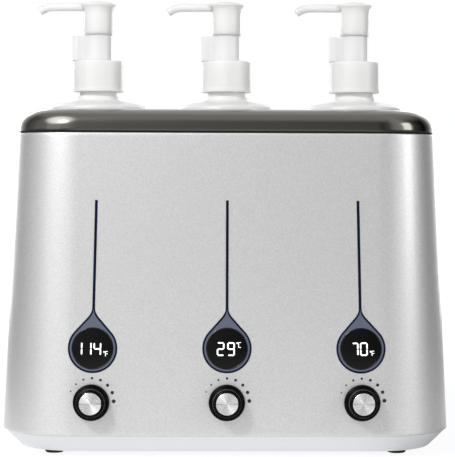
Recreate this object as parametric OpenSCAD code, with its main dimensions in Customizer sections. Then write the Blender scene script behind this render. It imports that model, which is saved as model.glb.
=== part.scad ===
// Warmer for three pump bottles of massage oil.
// Millimetres. The part stands on its feet at z = 0, its front faces -Y, and the origin lies under
// the middle of its bounding box. Column numbers: -1 is the left bottle, 0 the middle, 1 the right.

/* [Case] */
// Distance between neighbouring bottles
bottle_x = 90; // [84:1:110]
// Half length of the plan rectangle that the rounded corners swing about
corner_x = 102.5; // [95:0.5:130]
// Half depth of that rectangle
corner_y = 13; // [10:0.5:30]
// Reach of the housing outside the rectangle at its lower edge
base_reach = 52; // [48:0.5:64]
// Reach of the housing outside the rectangle at its upper edge
top_reach = 41.8; // [41:0.2:50]
// Height of the housing's lower edge above the table
housing_z = 15.9; // [14:0.1:24]
// Height of the housing
housing_h = 203.3; // [190:0.1:240]
// Wall thickness of the housing
wall = 2.6; // [1.8:0.1:3.2]
// Bevel on the housing's upper edge
edge_bevel = 0.8; // [0.2:0.1:1.1]

/* [Top cap] */
// Height of the shadow gap under the cap
gap_h = 0.8; // [0.4:0.1:2]
// Depth of the shadow gap
gap_depth = 1.4; // [0.8:0.1:1.8]
// Straight part of the cap's wall
cap_rise = 2.5; // [1:0.1:8]
// Radius of the cap's rounded edge
cap_fillet = 13; // [8:0.5:16]
// Thickness of the cap
cap_t = 2.6; // [2:0.1:4]
// Depth of the lip that enters the housing
lip_h = 6; // [3:0.5:12]
// Thickness of that lip
lip_t = 2; // [1.2:0.1:3]
// Width of the bevel round each bottle opening
opening_bevel = 0.6; // [0.2:0.1:1]

/* [Base tray] */
// Height of the tray's underside above the table
tray_z = 4.3; // [2.5:0.1:8]
// Thickness of the tray
tray_t = 2.5; // [1.8:0.1:3.5]
// Inset of the tray's upper edge behind the housing
tray_groove = 0.6; // [0:0.1:1]
// Radius at the foot of the tray's undercut
tray_round = 3; // [1:0.5:5]
// Diameter of the rubber feet
foot_d = 13; // [8:0.5:18]
// Depth of the feet in the tray
foot_recess = 1.2; // [0.6:0.1:1.6]
// Half distance between the feet, left to right
foot_x = 118; // [90:1:124]
// Half distance between the feet, front to back
foot_y = 30; // [20:1:34]
// Half distance between the base screws, left to right
base_screw_x = 50; // [40:1:75]
// Distance from the housing's lower front edge to the base screws
base_screw_in = 19; // [17:0.5:24]

/* [Heating cups] */
// Radial play between a bottle and its cup
cup_play = 1.1; // [0.6:0.1:2]
// Wall thickness of the cups
cup_t = 1.4; // [1:0.1:2.5]
// Width of the cup's flange
flange_w = 4.5; // [3.5:0.1:4.8]
// Thickness of the flange
flange_t = 1.4; // [1:0.1:2.5]
// Thickness of the gasket between flange and cap
gasket_t = 1; // [0.5:0.1:2]
// Radial play between a bottle and its opening in the cap
opening_play = 1.5; // [0.8:0.1:2.2]
// Height of the heater bands
band_h = 60; // [30:1:90]
// Height of the heater bands above the cups' underside
band_z = 8; // [3:0.5:20]
// Thickness of the heater bands
band_t = 1.5; // [0.8:0.1:3]
// Diameter of the temperature sensors
sensor_d = 6; // [4:0.5:10]
// Height of the temperature sensors
sensor_h = 5; // [3:0.5:10]
// Thickness of the clamps that hold the cups
clamp_t = 1.5; // [1:0.1:2.5]
// Width of the clamps
clamp_w = 8; // [7:0.5:9]
// Reach of a clamp from its screw towards the cups
clamp_l = 7; // [6.5:0.1:8]
// Angle of the outer clamps about their bottle, from the case's length
clamp_angle = 45; // [40:1:52]

/* [Bottles] */
// Diameter of a bottle
bottle_d = 67; // [60:0.5:70]
// Height of a bottle from its bottom to the edge of its shoulder
bottle_h = 124.5; // [90:0.5:140]
// Height of the shoulder's edge above the cap
bottle_proud = 3; // [1:0.1:12]
// Wall thickness of a bottle
bottle_wall = 1.2; // [0.8:0.1:2]
// Radius of the shoulder's edge
shoulder_round = 3; // [1:0.5:6]
// Rise of the shoulder to the neck
shoulder_rise = 4.6; // [3:0.1:12]
// Diameter of the neck
neck_d = 27.2; // [24:0.1:30]
// Wall thickness of the neck
neck_wall = 2; // [1.4:0.1:2.4]
// Diameter of the bead under the neck
bead_d = 29.6; // [28:0.1:34]
// Height of the bead
bead_h = 3.1; // [1.5:0.1:5]
// Height of the neck above the bead
neck_h = 18.6; // [14:0.1:24]

/* [Pumps] */
// Diameter of the collar
collar_d = 35.2; // [33:0.1:38]
// Gap between the bead and the collar
collar_gap = 2.7; // [1:0.1:4]
// Thickness of the collar's top
collar_top_t = 3; // [2:0.1:5]
// Flare of the collar's lower edge
collar_flare = 0.3; // [0:0.1:0.8]
// Diameter of the stem
stem_d = 9; // [7:0.1:11]
// Length of the stem between collar and head
lock_h = 19.2; // [14:0.1:26]
// Free play of the head over the lock clip
lock_play = 1; // [0.6:0.1:2]
// Outer diameter of the lock clip
clip_d = 19.6; // [16:0.1:24]
// Reach of the clip's grip from the stem's axis
grip_reach = 17.6; // [15:0.1:22]
// Thickness of the grip
grip_t = 4.2; // [2:0.1:5]
// Width of the grip
grip_w = 12; // [8:0.5:16]
// Width of the web between the clip and its grip
grip_web = 10.8; // [4:0.2:11.2]
// Diameter of the head
head_d = 20; // [17:0.1:24]
// Diameter of the head's upper lip
head_lip_d = 24.4; // [24:0.1:30]
// Height of the head up to its lip
head_h = 21.2; // [18:0.1:28]
// Rise of the domed top above the lip
head_dome = 1.7; // [0.5:0.1:4]
// Height of the flare below the lip
head_flare = 7; // [3:0.1:9]
// Outer diameter of the nozzle
nozzle_d = 5.6; // [4.5:0.1:7]
// Bore of the nozzle
nozzle_bore = 3; // [1.5:0.1:3.6]
// Length of the nozzle's straight run, from the stem's axis
nozzle_run = 30.6; // [22:0.1:36]
// Bend radius of the nozzle's end
nozzle_bend_r = 17; // [8:0.5:20]
// Angle of the bend
nozzle_bend = 38; // [15:1:50]
// Drop of the nozzle's axis below the lip
nozzle_drop = 2.5; // [2:0.1:5]
// Outer diameter of the pump chamber
chamber_d = 17; // [14:0.1:19]
// Wall thickness of the pump chamber
chamber_wall = 2; // [1:0.1:2.2]
// Length of the pump chamber below the neck
chamber_l = 64; // [50:1:80]
// Thickness of the chamber's flange
chamber_flange_t = 2; // [1:0.1:3]
// Length of the nipple that holds the dip tube
nipple_l = 8; // [5:0.5:14]
// Outer diameter of the dip tube
dip_d = 6; // [4:0.1:7]
// Wall thickness of the dip tube
dip_wall = 0.8; // [0.5:0.1:1.2]
// Height of the dip tube's end above the bottle's floor
dip_end = 3; // [1:0.5:10]
// Length of the stem inside the chamber
stem_in = 29; // [22:0.5:40]
// Length of the piston on the stem
piston_l = 8; // [4:0.5:12]
// Depth of the stem's socket in the head
socket_h = 11.2; // [6:0.1:13]

/* [Front] */
// Height of the display windows
window_z = 74.5; // [66:0.5:90]
// Lean of the outer columns towards the middle, in degrees
column_lean = 1.25; // [0:0.05:3]
// Diameter of a display window
window_d = 27.2; // [25:0.1:29]
// Thickness of a display window
window_t = 1.5; // [1:0.1:2.5]
// Radius of the round end of the drop
drop_r = 16.5; // [15.5:0.1:19]
// Angle of the drop's flanks, from upright
drop_flank = 41.7; // [32:0.1:50]
// Length over which a flank turns into the stem
drop_blend = 3.2; // [1:0.1:5]
// Width of the drop's stem
drop_stem_w = 1.75; // [1:0.05:3]
// Height of the stem's end above the window's middle
drop_stem_h = 99.4; // [60:0.5:120]
// Depth of the drop's inlay in the housing
inlay_depth = 1.2; // [0.6:0.1:1.5]
// Height of the drop above the housing
inlay_proud = 0.4; // [0.1:0.1:1]
// Width of the ledge that carries a window
window_ledge = 1.6; // [1:0.1:2]

/* [Knobs] */
// Distance from the window's middle down to the knob's axis
knob_drop = 36.2; // [33:0.1:40]
// Diameter of the knob's skirt
knob_d = 24; // [20:0.1:26]
// Gap between knob and housing
knob_gap = 1; // [0.5:0.1:2]
// Height of the knob's skirt
skirt_h = 3.4; // [2:0.1:5]
// Height of the knob
knob_h = 12.6; // [11:0.1:18]
// Diameter of the grip at its foot
grip_foot_d = 20; // [17:0.1:20]
// Diameter of the grip at its end
grip_end_d = 17; // [16:0.1:18]
// Number of grooves in the grip
groove_n = 24; // [12:1:36]
// Depth of the grooves
groove_depth = 0.5; // [0.2:0.1:0.7]
// Width of the grooves
groove_w = 1; // [0.5:0.1:1.6]
// Diameter of the metal cap
knob_cap_d = 14.7; // [12:0.1:15]
// Thickness of the metal cap
knob_cap_t = 1.4; // [1:0.1:2]
// Height of the metal cap above the knob
knob_cap_proud = 0.4; // [0:0.1:1]
// Diameter of the potentiometer's shaft
shaft_d = 6; // [4:0.1:6.4]
// Depth of the shaft in the potentiometer, below the housing's face
shaft_depth = 8; // [6:0.1:9]
// Diameter of the threaded bushing
bushing_d = 9; // [8:0.1:10]
// Width of the shaft nut across its corners
nut_d = 14; // [12:0.1:15]
// Thickness of the shaft nut
nut_t = 2.4; // [1.5:0.1:2.8]
// Side of the potentiometer's body
pot_side = 16; // [13:0.5:18]

/* [Boards and inlet] */
// Depth of the control board's front behind the housing's face
board_depth = 12.5; // [11.5:0.1:14]
// Thickness of the boards
board_t = 1.6; // [1:0.1:2]
// Half width of the control board
board_x = 106; // [103:1:112]
// Reach of the control board above the windows' middle
board_up = 14; // [12:0.5:20]
// Reach of the control board below the knobs' axes
board_down = 8; // [7.5:0.5:9]
// Width of a display module
display_w = 20; // [16:0.5:20]
// Height of a display module
display_h = 12; // [9:0.5:12.5]
// Half width of the control board's row of posts
board_post_x = 62; // [60:1:66]
// Width of the power board
power_w = 110; // [80:1:120]
// Depth of the power board
power_l = 60; // [50:1:64]
// Height of the power board above the tray's floor
power_lift = 8; // [5:0.5:12]
// Width of the transformer
transformer_w = 30; // [20:1:36]
// Depth of the transformer
transformer_l = 24; // [16:1:30]
// Height of the transformer
transformer_h = 22; // [12:1:30]
// Diameter of the capacitors
capacitor_d = 9; // [6:0.5:11]
// Height of the capacitors
capacitor_h = 15; // [8:0.5:25]
// Width of the relays
relay_w = 8; // [6:0.5:10]
// Depth of the relays
relay_l = 10; // [6:0.5:12]
// Height of the relays
relay_h = 12; // [8:0.5:18]
// Height of the mains inlet
inlet_z = 46; // [42:0.5:60]
// Width of the inlet's body
inlet_w = 20; // [18:0.5:26]
// Height of the inlet's body
inlet_h = 12; // [11:0.5:18]
// Depth of the inlet's body
inlet_l = 16; // [14:0.5:24]
// Width of the inlet's rim
inlet_rim = 2.5; // [1.5:0.1:4]
// Thickness of the inlet's rim
inlet_rim_t = 1; // [0.6:0.1:1.5]
// Depth of the inlet's socket
socket_l = 11; // [8:0.5:12]
// Distance between the inlet's pins
pin_pitch = 8.6; // [7:0.1:9]
// Diameter of the inlet's pins
pin_d = 2.4; // [2:0.1:2.6]

/* [Screws and fits] */
// Diameter of the screws' shanks
screw_d = 3; // [2.5:0.1:4]
// Diameter of the screws' heads
screw_head_d = 5.6; // [5:0.1:6.4]
// Height of the screws' heads
screw_head_h = 2.2; // [1.5:0.1:3]
// Wall round the base screws
boss_wall = 3; // [2:0.1:3.5]
// Wall round the clamp screws
clamp_boss_wall = 2.3; // [1.8:0.1:2.6]
// Wall round the board screws
post_wall = 2; // [1.4:0.1:2.4]
// Length of the board screws' thread
board_thread = 5; // [3:0.5:6]
// Width of the housing's screw lugs
lug_w = 14; // [10:0.5:18]
// Height of those lugs
lug_h = 6.5; // [5:0.5:7]
// Clearance between pieces that move past each other
clearance = 0.3; // [0.2:0.05:0.4]
// Clearance between pieces that are fitted together
fit = 0.1; // [0.05:0.05:0.15]
// Radial clearance of a turning shaft
running = 0.05; // [0.02:0.01:0.08]

/* [Hidden] */
$fn = 64;
eps = 0.01;
COLUMNS = [-1, 0, 1];
SIDES = [-1, 1];

// Case levels and reaches
lean = atan((base_reach - top_reach) / housing_h);
half_depth = corner_y + base_reach;
housing_top = housing_z + housing_h;
cap_reach = top_reach - fit;
cap_arc_z = housing_top + gap_h + cap_rise;
deck_z = cap_arc_z + cap_fillet;
deck_under = deck_z - cap_t;
tray_floor = tray_z + tray_t;
tray_edge = base_reach - tray_groove;
tray_foot = tray_edge - (housing_z - tray_z);
lip_outer = base_reach - wall - clearance;
lug_z = housing_z + lip_h + clearance;
base_screw_y = half_depth - base_screw_in;
boss_d = screw_d + 2 * boss_wall;
inner_lug = base_screw_y - boss_d / 2 - 1;

// Cup and bottle levels
opening_r = bottle_d / 2 + opening_play;
cup_r = bottle_d / 2 + cup_play;
cup_outer = cup_r + cup_t;
flange_r = cup_outer + flange_w;
flange_z = deck_under - gasket_t - flange_t;
shoulder_z = deck_z + bottle_proud;
bottle_z = shoulder_z - bottle_h;
cup_floor = bottle_z - clearance;
cup_under = cup_floor - cup_t;
clamp_boss_d = screw_d + 2 * clamp_boss_wall;
clamp_r = flange_r + clamp_boss_d / 2 + 2 * clearance;
// The outer clamps end at the rim of their bosses, clear of the cap's rounded edge
clamp_out = clamp_boss_d / 2;

// Pump levels
neck_z = shoulder_z + shoulder_rise;
bead_top = neck_z + bead_h;
neck_top = bead_top + neck_h;
chamber_flange_z = neck_top + clearance;
collar_z = bead_top + collar_gap;
collar_under = chamber_flange_z + chamber_flange_t + clearance;
collar_top = collar_under + collar_top_t;
clip_z = collar_top + clearance;
head_z = collar_top + lock_h;
clip_top = head_z - lock_play;
lip_z = head_z + head_h;
nozzle_z = lip_z - nozzle_drop;
chamber_z = neck_top - chamber_l;
stem_end = chamber_flange_z - stem_in;
chamber_r = chamber_d / 2 - chamber_wall;

// Front levels, measured out of the housing's face
wall_in = wall * cos(lean);
board_in = board_depth + board_t;
window_top = inlay_depth * -1 + window_t;
knob_end = knob_gap + knob_h;
cap_end = knob_end + knob_cap_proud;
bushing_end = nut_t + 1.4;
knob_well = bushing_end + clearance;
shaft_end = knob_end - knob_cap_t + knob_cap_proud - 1;
pot_front = wall_in + 1.6;
knob_z = window_z - knob_drop * cos(lean);

// The body stands behind the knobs, so it is moved back to centre the whole part
front_reach = -face_y(knob_z) + cap_end * cos(lean) + knob_cap_d / 2 * sin(lean);
back_shift = (front_reach - half_depth) / 2;

// Front face of the housing at a height
function face_y(z) = (z - housing_z) * tan(lean) - half_depth;

// Points on an arc about c, from angle a to angle b
function arc(c, r, a, b, n = 12) =
    [for (i = [0:n]) c + r * [cos(a + (b - a) * i / n), sin(a + (b - a) * i / n)]];

// Points on a quadratic curve from p to r that bends towards q
function bend(p, q, r, n = 8) =
    [for (i = [0:n]) let (t = i / n) (1 - t) * (1 - t) * p + 2 * t * (1 - t) * q + t * t * r];

// Moves the finished pieces back so that the origin is under the middle of the part
module placed() {
    translate([0, back_shift, 0])
        children();
}

// Carries a 2D section round the case: x is the reach outside the corner rectangle, y the height
module round_case() {
    for (sx = [0, 1], sy = [0, 1])
        mirror([sx, 0, 0])
            mirror([0, sy, 0])
                translate([corner_x, corner_y, 0])
                    rotate_extrude(angle = 90)
                        children();
    for (s = [0, 1]) {
        mirror([0, s, 0])
            translate([-corner_x, corner_y, 0])
                rotate([90, 0, 90])
                    linear_extrude(height = 2 * corner_x)
                        children();
        mirror([s, 0, 0])
            translate([corner_x, corner_y, 0])
                rotate([90, 0, 0])
                    linear_extrude(height = 2 * corner_y)
                        children();
    }
}

// Fills the corner rectangle between two heights
module middle_plate(z0, z1) {
    translate([-corner_x, -corner_y, z0])
        cube([2 * corner_x, 2 * corner_y, z1 - z0]);
}

// Front face of a column: x to the right, y up the face, z out of it, from the window's middle
module on_front(column) {
    translate([column * bottle_x, face_y(window_z), window_z])
        rotate([90 - lean, 0, 0])
            rotate([0, 0, column * column_lean])
                children();
}

// The same for the knob's axis
module on_knob(column) {
    on_front(column)
        translate([0, -knob_drop, 0])
            children();
}

// Rear face at a height, with z out of it
module on_rear(z) {
    translate([0, -face_y(z), z])
        rotate([0, 0, 180])
            rotate([90 - lean, 0, 0])
                children();
}

module at_bottle(column) {
    translate([column * bottle_x, 0, 0])
        children();
}

// A tube or disc between two heights
module ring(r_out, r_in, z0, z1) {
    difference() {
        translate([0, 0, z0])
            cylinder(r = r_out, h = z1 - z0);
        if (r_in > 0)
            translate([0, 0, z0 - 1])
                cylinder(r = r_in, h = z1 - z0 + 2);
    }
}

// A screw with its head's bearing face at z = 0 and its shank upwards
module screw(length) {
    translate([0, 0, -screw_head_h]) {
        cylinder(d = screw_d, h = screw_head_h + length);
        cylinder(d = screw_head_d, h = screw_head_h);
    }
}

module at_base_screws() {
    for (sx = SIDES, sy = SIDES)
        translate([sx * base_screw_x, sy * base_screw_y, 0])
            children();
}

module at_feet() {
    for (sx = SIDES, sy = SIDES)
        translate([sx * foot_x, sy * foot_y, 0])
            children();
}

// Two clamps lie between neighbouring cups, and two at the outer side of each outer cup
module at_inner_clamps() {
    for (s = SIDES)
        translate([s * bottle_x / 2, 0, 0])
            children();
}

module at_outer_clamps() {
    for (s = SIDES, a = [-clamp_angle, clamp_angle])
        translate([s * bottle_x, 0, 0])
            rotate([0, 0, a + (s < 0 ? 180 : 0)])
                translate([clamp_r, 0, 0])
                    children();
}

module at_clamps() {
    at_inner_clamps()
        children();
    at_outer_clamps()
        children();
}

// Posts of the control board: x across the face, y up it
module at_board_posts() {
    on_front(0)
        for (sx = SIDES, y = [board_up - 4, 4 - knob_drop - board_down])
            translate([sx * board_post_x, y, 0])
                children();
}

module at_power_posts() {
    for (sx = SIDES, sy = SIDES)
        translate([sx * (power_w / 2 - 6), sy * (power_l / 2 - 6), 0])
            children();
}

// Outline of the drop with its stem, grown by g
function drop_outline(g) =
    let (
        r = drop_r + g,
        s = drop_stem_w / 2 + g,
        y_c = (r / cos(drop_flank) - s) / tan(drop_flank),
        y_b = y_c - drop_blend,
        w_b = r / cos(drop_flank) - y_b * tan(drop_flank),
        turn = 180 + 2 * drop_flank
    )
    concat(
        arc([0, 0], r, drop_flank, drop_flank - turn, 48),
        bend([-w_b, y_b], [-s, y_c], [-s, y_c + drop_blend]),
        [[-s, drop_stem_h + g], [s, drop_stem_h + g]],
        bend([s, y_c + drop_blend], [s, y_c], [w_b, y_b])
    );

// Case

module housing_section() {
    polygon([
        [base_reach, housing_z],
        [top_reach + edge_bevel * tan(lean), housing_top - edge_bevel],
        [top_reach - edge_bevel, housing_top],
        [top_reach - wall, housing_top],
        [base_reach - wall, housing_z]
    ]);
}

module housing_lug() {
    translate([-lug_w / 2, inner_lug - base_screw_y, lug_z])
        cube([lug_w, half_depth - wall / 2 - lug_h * tan(lean) - inner_lug, lug_h]);
}

module housing_shell() {
    color("silver")
        placed()
            difference() {
                union() {
                    round_case()
                        housing_section();
                    for (s = [0, 1])
                        mirror([0, s, 0])
                            for (sx = SIDES)
                                translate([sx * base_screw_x, base_screw_y, 0])
                                    housing_lug();
                    at_board_posts()
                        translate([0, 0, -board_depth])
                            cylinder(d = screw_d + 2 * post_wall, h = board_depth - wall_in / 2);
                }
                at_base_screws()
                    translate([0, 0, lug_z - 1])
                        cylinder(d = screw_d, h = lug_h + 2);
                at_board_posts()
                    translate([0, 0, -board_depth - 1])
                        cylinder(d = screw_d, h = board_thread + 2);
                for (c = COLUMNS) {
                    on_front(c) {
                        translate([0, 0, -inlay_depth])
                            linear_extrude(height = inlay_depth + 2)
                                polygon(drop_outline(fit));
                        translate([0, 0, -wall - 2])
                            cylinder(r = window_d / 2 - window_ledge, h = wall + 3);
                    }
                    on_knob(c)
                        translate([0, 0, -wall - 2])
                            cylinder(r = bushing_d / 2 + fit, h = wall + 3);
                }
                on_rear(inlet_z) {
                    translate([-inlet_w / 2 - fit, -inlet_h / 2 - fit, -wall - 2])
                        cube([inlet_w + 2 * fit, inlet_h + 2 * fit, wall + 4]);
                    translate([-inlet_w / 2 - inlet_rim - fit, -inlet_h / 2 - inlet_rim - fit, -inlet_rim_t])
                        cube([inlet_w + 2 * (inlet_rim + fit), inlet_h + 2 * (inlet_rim + fit), inlet_rim_t + 2]);
                }
            }
}

module cap_section() {
    arc_c = [cap_reach - cap_fillet, cap_arc_z];
    lip_out = top_reach - wall - clearance;
    polygon(concat(
        [[0, deck_under]],
        arc(arc_c, cap_fillet - cap_t, 90, 0, 16),
        [
            [lip_out - lip_t, cap_arc_z - (cap_reach - cap_t - lip_out + lip_t)],
            [lip_out - lip_t, housing_top - lip_h],
            [lip_out, housing_top - lip_h],
            [lip_out, housing_top],
            [cap_reach - gap_depth, housing_top],
            [cap_reach - gap_depth, housing_top + gap_h],
            [cap_reach, housing_top + gap_h]
        ],
        arc(arc_c, cap_fillet, 0, 90, 20),
        [[0, deck_z]]
    ));
}

module top_cap() {
    color("dimgray")
        placed()
            difference() {
                union() {
                    round_case()
                        cap_section();
                    middle_plate(deck_under, deck_z);
                    at_clamps()
                        translate([0, 0, flange_z])
                            cylinder(d = clamp_boss_d, h = deck_under - flange_z + 0.8);
                }
                for (c = COLUMNS)
                    at_bottle(c) {
                        translate([0, 0, deck_under - 1])
                            cylinder(r = opening_r, h = cap_t + 2);
                        translate([0, 0, deck_z - opening_bevel])
                            cylinder(r1 = opening_r, r2 = opening_r + 2 * opening_bevel, h = 2 * opening_bevel);
                    }
                at_clamps()
                    translate([0, 0, flange_z - 1])
                        cylinder(d = screw_d, h = gasket_t + flange_t + 1.6);
            }
}

module tray_section() {
    // The undercut runs at 45 degrees, so the round at its foot turns through 45 degrees
    c = [tray_foot - tray_round * tan(22.5), tray_z + tray_round];
    polygon(concat(
        [[0, tray_z]],
        arc(c, tray_round, -90, -45, 4),
        [
            [tray_edge, housing_z],
            [lip_outer, housing_z],
            [lip_outer - lip_h * tan(lean), housing_z + lip_h],
            [lip_outer - lip_t, housing_z + lip_h],
            [lip_outer - lip_t, housing_z - 1],
            [lip_outer - lip_t - (housing_z - 1 - tray_floor), tray_floor],
            [0, tray_floor]
        ]
    ));
}

module base_tray() {
    color("whitesmoke")
        placed()
            difference() {
                union() {
                    round_case()
                        tray_section();
                    middle_plate(tray_z, tray_floor);
                    at_base_screws()
                        translate([0, 0, tray_floor - 1])
                            cylinder(d = boss_d, h = lug_z - tray_floor + 1);
                    at_power_posts()
                        translate([0, 0, tray_floor - 1])
                            cylinder(d = screw_d + 2 * post_wall, h = power_lift + 1);
                }
                at_base_screws() {
                    translate([0, 0, tray_z - 1])
                        cylinder(d = screw_head_d + 4 * fit, h = lug_z - 3 - tray_z + 1);
                    translate([0, 0, tray_z])
                        cylinder(d = screw_d + 2 * fit, h = lug_z - tray_z + 1);
                }
                at_power_posts()
                    translate([0, 0, tray_floor + power_lift - board_thread])
                        cylinder(d = screw_d, h = board_thread + 1);
                at_feet()
                    translate([0, 0, tray_z - 1])
                        cylinder(d = foot_d + 2 * fit, h = foot_recess + 1);
            }
}

module rubber_feet() {
    color([0.08, 0.08, 0.08])
        placed()
            at_feet() {
                translate([0, 0, 0.6])
                    cylinder(d = foot_d, h = tray_z + foot_recess - 0.6);
                cylinder(d1 = foot_d - 1.2, d2 = foot_d, h = 0.6 + eps);
            }
}

module base_screws() {
    color("gray")
        placed()
            at_base_screws()
                translate([0, 0, lug_z - 3])
                    screw(3 + lug_h - 1);
}

// Heating cups

module heating_cup(column) {
    color("lightsteelblue")
        placed()
            at_bottle(column)
                rotate_extrude()
                    polygon([
                        [0, cup_under],
                        [cup_outer - 2, cup_under],
                        [cup_outer, cup_under + 2],
                        [cup_outer, flange_z],
                        [flange_r, flange_z],
                        [flange_r, flange_z + flange_t],
                        [cup_r, flange_z + flange_t],
                        [cup_r, cup_floor + 1],
                        [cup_r - 1, cup_floor],
                        [0, cup_floor]
                    ]);
}

module cup_gaskets() {
    color("white")
        placed()
            for (c = COLUMNS)
                at_bottle(c)
                    ring(flange_r, opening_r + fit, flange_z + flange_t, deck_under);
}

module heater_bands() {
    color("chocolate")
        placed()
            for (c = COLUMNS)
                at_bottle(c)
                    ring(cup_outer + fit + band_t, cup_outer + fit, cup_under + band_z, cup_under + band_z + band_h);
}

module temperature_sensors() {
    color("goldenrod")
        placed()
            for (c = COLUMNS)
                at_bottle(c)
                    ring(sensor_d / 2, 0, cup_under - sensor_h, cup_under);
}

module clamp_plate(outwards) {
    translate([-clamp_l, -clamp_w / 2, flange_z - clamp_t])
        cube([clamp_l + outwards, clamp_w, clamp_t]);
}

module cup_clamps() {
    color("darkgray")
        placed()
            difference() {
                union() {
                    at_inner_clamps()
                        clamp_plate(clamp_l);
                    at_outer_clamps()
                        clamp_plate(clamp_out);
                }
                at_clamps()
                    translate([0, 0, flange_z - clamp_t - 1])
                        cylinder(d = screw_d + 2 * fit, h = clamp_t + 2);
            }
}

module clamp_screws() {
    color("gray")
        placed()
            at_clamps()
                translate([0, 0, flange_z - clamp_t])
                    screw(clamp_t + gasket_t + flange_t);
}

// Displays

module display_bezel(column) {
    color("slategray")
        placed()
            on_front(column)
                difference() {
                    translate([0, 0, -inlay_depth])
                        linear_extrude(height = inlay_depth + inlay_proud)
                            polygon(drop_outline(0));
                    translate([0, 0, -inlay_depth - 1])
                        cylinder(r = window_d / 2 + fit, h = inlay_depth + inlay_proud + 2);
                }
}

module display_window(column) {
    color([0.05, 0.05, 0.06])
        placed()
            on_front(column)
                ring(window_d / 2, 0, -inlay_depth, window_top);
}

module display_modules() {
    color("black")
        placed()
            for (c = COLUMNS)
                on_front(c)
                    translate([-display_w / 2, -display_h / 2, -board_depth])
                        cube([display_w, display_h, board_depth - inlay_depth - clearance]);
}

module control_board() {
    color("darkgreen")
        placed()
            difference() {
                on_front(0)
                    translate([-board_x, -knob_drop - board_down, -board_in])
                        cube([2 * board_x, board_up + knob_drop + board_down, board_t]);
                at_board_posts()
                    translate([0, 0, -board_in - 1])
                        cylinder(d = screw_d + 2 * fit, h = board_t + 2);
            }
}

module board_screws() {
    color("gray")
        placed() {
            at_board_posts()
                translate([0, 0, -board_in])
                    screw(board_t + board_thread);
            at_power_posts()
                translate([0, 0, tray_floor + power_lift + board_t])
                    mirror([0, 0, 1])
                        screw(board_t + board_thread - 1);
        }
}

// Controls

module potentiometers() {
    color("darkslategray")
        placed()
            for (c = COLUMNS)
                on_knob(c)
                    difference() {
                        union() {
                            translate([-pot_side / 2, -pot_side / 2, -board_depth])
                                cube([pot_side, pot_side, board_depth - pot_front]);
                            translate([0, 0, -pot_front - 1])
                                cylinder(d = bushing_d, h = pot_front + bushing_end + 1);
                        }
                        translate([0, 0, -shaft_depth - clearance])
                            cylinder(r = shaft_d / 2 + running, h = shaft_depth + bushing_end + 2);
                    }
}

module shaft_nuts() {
    color("gainsboro")
        placed()
            for (c = COLUMNS)
                on_knob(c)
                    difference() {
                        cylinder(d = nut_d, h = nut_t, $fn = 6);
                        translate([0, 0, -1])
                            cylinder(r = bushing_d / 2 + fit, h = nut_t + 2);
                    }
}

module knob_shaft(column) {
    color("lightgray")
        placed()
            on_knob(column)
                ring(shaft_d / 2, 0, -shaft_depth, shaft_end);
}

module knob_body(column) {
    foot_z = knob_gap + skirt_h;
    grip_l = knob_h - skirt_h;
    slope = atan((grip_foot_d - grip_end_d) / 2 / grip_l);
    color([0.1, 0.1, 0.1])
        placed()
            on_knob(column)
                difference() {
                    union() {
                        translate([0, 0, knob_gap])
                            cylinder(d1 = knob_d, d2 = knob_d - 1.6, h = skirt_h);
                        translate([0, 0, foot_z - 1])
                            cylinder(d = grip_foot_d, h = 1 + eps);
                        translate([0, 0, foot_z])
                            cylinder(d1 = grip_foot_d, d2 = grip_end_d, h = grip_l);
                    }
                    for (i = [1:groove_n])
                        rotate([0, 0, 360 * i / groove_n])
                            translate([grip_foot_d / 2, 0, foot_z])
                                rotate([0, -slope, 0])
                                    translate([-groove_depth, -groove_w / 2, 0])
                                        cube([3, groove_w, grip_l + 3]);
                    translate([0, 0, knob_gap - 1])
                        cylinder(d = nut_d + 2 * clearance + 1, h = knob_well - knob_gap + 1);
                    translate([0, 0, knob_gap])
                        cylinder(r = shaft_d / 2 + running, h = shaft_end + clearance - knob_gap);
                    translate([0, 0, cap_end - knob_cap_t])
                        cylinder(d = knob_cap_d + 2 * fit, h = knob_cap_t + 1);
                }
}

module knob_cap(column) {
    color("whitesmoke")
        placed()
            on_knob(column)
                translate([0, 0, cap_end - knob_cap_t]) {
                    cylinder(d = knob_cap_d, h = knob_cap_t - 0.3);
                    translate([0, 0, knob_cap_t - 0.3 - eps])
                        cylinder(d1 = knob_cap_d, d2 = knob_cap_d - 0.6, h = 0.3 + eps);
                }
}

// Power

module power_board() {
    color("darkgreen")
        placed()
            translate([0, 0, tray_floor + power_lift]) {
                difference() {
                    translate([-power_w / 2, -power_l / 2, 0])
                        cube([power_w, power_l, board_t]);
                    at_power_posts()
                        translate([0, 0, -1])
                            cylinder(d = screw_d + 2 * fit, h = board_t + 2);
                }
                translate([-power_w / 4 - transformer_w / 2, -transformer_l / 2, board_t - eps])
                    cube([transformer_w, transformer_l, transformer_h]);
                for (c = COLUMNS) {
                    translate([power_w / 6 + c * power_w / 9, power_l / 10, board_t - eps])
                        cylinder(d = capacitor_d, h = capacitor_h);
                    translate([power_w / 6 + c * power_w / 9 - relay_w / 2, -power_l / 4, board_t - eps])
                        cube([relay_w, relay_l, relay_h]);
                }
            }
}

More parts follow.
